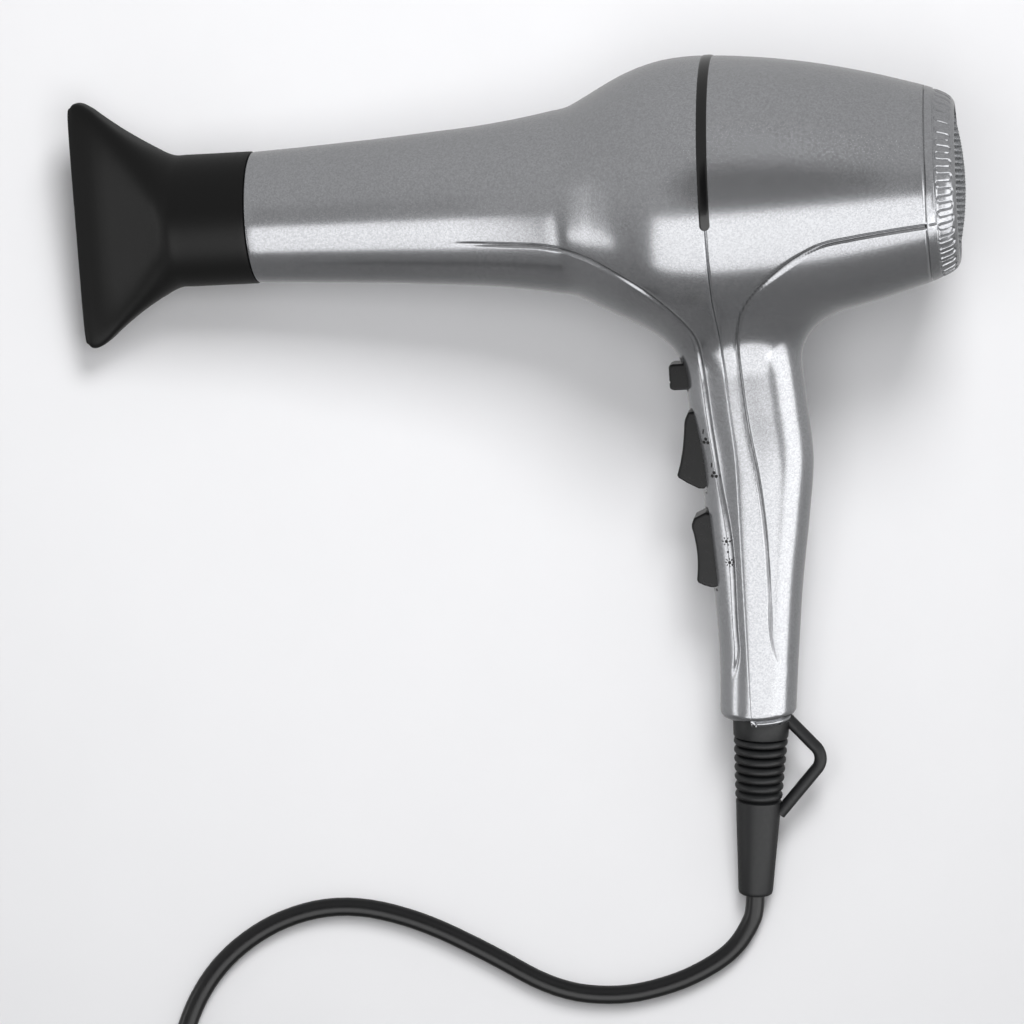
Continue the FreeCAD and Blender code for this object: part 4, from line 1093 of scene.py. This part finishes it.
class DRYER_OT_switches(bpy.types.Operator):
    """Two rockers and the cool-shot button: flat outlines given width, with rounded edges"""

    bl_idname = "dryer.switches"
    bl_label = "Switches"

    def execute(self, context):
        for name, outer, rest, node, body in (
            ("speed_rocker_cap", SPEED_OUTER, SPEED_REST, "speed_rocker", "speed_control"),
            ("heat_rocker_cap", HEAT_OUTER, HEAT_REST, "heat_rocker", "heat_control"),
        ):
            face = [tuple(point) for point in smooth_path(outer, 20)]
            points, faces = rounded_slab(face + rest, 6.6, 0.9)
            switch_cap(name, points, faces, body, node, sharp=28)
        # Button: a rounded block with a thumb ridge across it, on a flange that holds it in.
        ridge = [(-15.55 + 0.3 * math.exp(-((y + 67.0) ** 2) / 0.12), y) for y in np.linspace(-61.6, -68.8, 37)]
        outline = [(-2.6, -60.4), (-14.0, -60.4), (-14.9, -60.7), (-15.4, -61.1), *ridge]
        outline += [(-15.4, -69.3), (-14.9, -69.7), (-14.0, -70.0), (-2.6, -70.0)]
        points, faces = rounded_slab(outline, 5.0, 0.8)
        flange = [(-2.6, -59.2), (-2.6, -71.2), (-1.1, -71.2), (-1.1, -59.2)]
        more, others = rounded_slab(flange, 6.3, 0.1)
        faces += [[i + len(points) for i in face] for face in others]
        switch_cap("cool_button_cap", np.concatenate([points, more]), faces, "cool_control", "cool_button")
        return {"FINISHED"}


def relief_place(along, out):
    """Points in the plane of the hanging loop, given down the sleeve's axis and out from it."""
    return RELIEF_TOP + np.outer(along, RELIEF_DOWN) + np.outer(out, RELIEF_OUT)


class DRYER_OT_relief(bpy.types.Operator):
    """Rubber sleeve of the lead: a collar, seven soft rings and a tapered end, with a bent hanging loop"""

    bl_idname = "dryer.relief"
    bl_label = "Lead sleeve"

    def execute(self, context):
        rings, pitch, thick, first, core = 7, 3.36, 2.63, 8.35, 7.5
        profile = [(-6.0, 0.0), (-6.0, 8.0), (0.4, 8.0), (0.4, 10.3)]
        profile += [(0.9, 10.5), (7.4, 10.12), (7.9, 9.8), (8.05, 9.2)]
        for ring in range(rings):
            radius = 9.95 - 0.2 * ring
            low = first + pitch * ring
            profile.append((low - 0.25, core))
            for bulge in np.linspace(-1, 1, 11):
                drop = 1.15 * (1 - math.sqrt(1 - 0.93 * bulge * bulge))
                profile.append((low + thick * (bulge + 1) / 2, radius - drop))
        profile += [(31.7, core), (31.8, 7.9), (32.2, 8.4), (36.0, 8.2), (50.0, 7.35), (66.2, 6.4), (67.3, 6.1)]
        profile += [(67.8, 5.4), (67.9, 4.4), (67.6, 3.7), (60.0, 3.6), (60.0, 0.0)]
        points, faces = turned(profile, RELIEF_TOP, RELIEF_DOWN, 96)
        sleeve = piece_from("lead_sleeve", points, faces, MATERIALS["rubber"], sharp=40)
        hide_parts("strain_relief")
        # Loop: two straight arms that meet in a rounded elbow.
        elbow, centre = 6.2, np.array([15.4, 16.0])
        turn = np.radians(np.linspace(-46.5, 36.5, 22))
        arc = centre + elbow * np.column_stack([np.sin(turn), np.cos(turn)])
        first_way, last_way = ([math.cos(angle), -math.sin(angle)] for angle in (turn[0], turn[-1]))
        before = arc[0] - np.outer(np.linspace(15.0, 1.0, 12), first_way)
        after = arc[-1] + np.outer(np.linspace(1.0, 22.0, 14), last_way)
        path = np.concatenate([before, arc, after])
        points, faces = tube(relief_place(path[:, 0], path[:, 1]), (0, 0, 1), 2.3, 20)
        loop = piece_from("hanging_loop", points, faces, MATERIALS["rubber"], sharp=60)
        return {"FINISHED"}


MARK_THICK = 0.12


def mark(outline, lift=0.06):
    """A small flat shape in x and y laid on the side of the skin that shows, with a hair of thickness."""
    outline = np.asarray(outline, float)
    flat = np.column_stack([outline, np.full(len(outline), 40.0)])
    landed = along_rays(flat, np.broadcast_to([0.0, 0.0, 1.0], flat.shape), rounds=120)
    return landed + np.array([0, 0, lift])


def disc(x, y, radius, sides=12):
    """Rim of a disc."""
    angle = np.linspace(0, 2 * np.pi, sides, endpoint=False)
    return np.column_stack([x + radius * np.cos(angle), y + radius * np.sin(angle)])


def bar(x, y, length, width, turn):
    """Corners of a bar centred on a point and turned by an angle in degrees."""
    c, s = math.cos(math.radians(turn)), math.sin(math.radians(turn))
    corners = [(-length, -width), (length, -width), (length, width), (-length, width)]
    return np.array([(x + (a * c - b * s) / 2, y + (a * s + b * c) / 2) for a, b in corners])


class DRYER_OT_marks(bpy.types.Operator):
    """Printed setting marks beside the rockers: blades for the fan and a ring with rays for the heat"""

    bl_idname = "dryer.marks"
    bl_label = "Setting marks"

    def execute(self, context):
        shapes = []
        for x, y in ((-3.0, -88.2), (-0.6, -100.5)):
            shapes.append(bar(x - 0.8, y + 3.6, 1.8, 0.45, 80))
            for k in range(3):
                angle = math.radians(90 + 120 * k)
                shapes.append(disc(x + 0.85 * math.cos(angle), y + 0.85 * math.sin(angle), 0.62))
        for x, y, rays in ((2.6, -124.8, 6), (3.4, -132.6, 8)):
            shapes.append(disc(x, y, 0.62))
            for k in range(rays):
                angle = math.radians(360 * k / rays)
                shapes.append(
                    bar(x + 1.35 * math.cos(angle), y + 1.35 * math.sin(angle), 0.7, 0.34, math.degrees(angle))
                )
        shapes.append(disc(3.0, -128.7, 0.42))
        points, faces, count = [], [], 0
        for shape in shapes:
            top = mark(shape)
            size = len(shape)
            points.append(np.concatenate([top, top - np.array([0, 0, MARK_THICK])]))
            faces.append(list(range(count, count + size)))
            faces.append(list(range(count + size, count + 2 * size))[::-1])
            for k in range(size):
                after = (k + 1) % size
                faces.append([count + k, count + size + k, count + size + after, count + after])
            count += 2 * size
        piece_from("setting_marks", np.concatenate(points), faces, MATERIALS["ink"], sharp=30)
        return {"FINISHED"}


class DRYER_OT_inside(bpy.types.Operator):
    """Finishes of the parts inside: grille, heater, fan, motor, switches and wiring"""

    bl_idname = "dryer.inside"
    bl_label = "Inside parts"

    def execute(self, context):
        for key, nodes in INSIDE.items():
            for node in nodes:
                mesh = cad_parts[node].data
                mesh.materials.clear()
                mesh.materials.append(MATERIALS[key])
        return {"FINISHED"}


OPERATORS = (
    DRYER_OT_stage,
    DRYER_OT_cord,
    DRYER_OT_plug,
    DRYER_OT_housing,
    DRYER_OT_band,
    DRYER_OT_nozzle,
    DRYER_OT_cap,
    DRYER_OT_filter,
    DRYER_OT_switches,
    DRYER_OT_relief,
    DRYER_OT_marks,
    DRYER_OT_inside,
)


class DRYER_PT_panel(bpy.types.Panel):
    """Sizes, colours and a button for each piece"""

    bl_label = "Salon dryer"
    bl_space_type = "VIEW_3D"
    bl_region_type = "UI"
    bl_category = "Dryer"

    def draw(self, context):
        layout = self.layout
        for group in (context.scene.dryer_sizes, context.scene.dryer_colours):
            for name in group.bl_rna.properties.keys():
                if name not in {"rna_type", "name"}:
                    layout.prop(group, name)
        for operator in OPERATORS:
            layout.operator(operator.bl_idname)


CLASSES = (DryerSizes, DryerColours, *OPERATORS, DRYER_PT_panel)


def register():
    for item in CLASSES:
        bpy.utils.register_class(item)
    bpy.types.Scene.dryer_sizes = bpy.props.PointerProperty(type=DryerSizes)
    bpy.types.Scene.dryer_colours = bpy.props.PointerProperty(type=DryerColours)


def unregister():
    del bpy.types.Scene.dryer_colours
    del bpy.types.Scene.dryer_sizes
    for item in reversed(CLASSES):
        bpy.utils.unregister_class(item)


def main():
    register()
    make_materials(bpy.context.scene.dryer_colours)
    for operator in OPERATORS:
        group, name = operator.bl_idname.split(".")
        getattr(getattr(bpy.ops, group), name)()


if __name__ == "__main__":
    main()
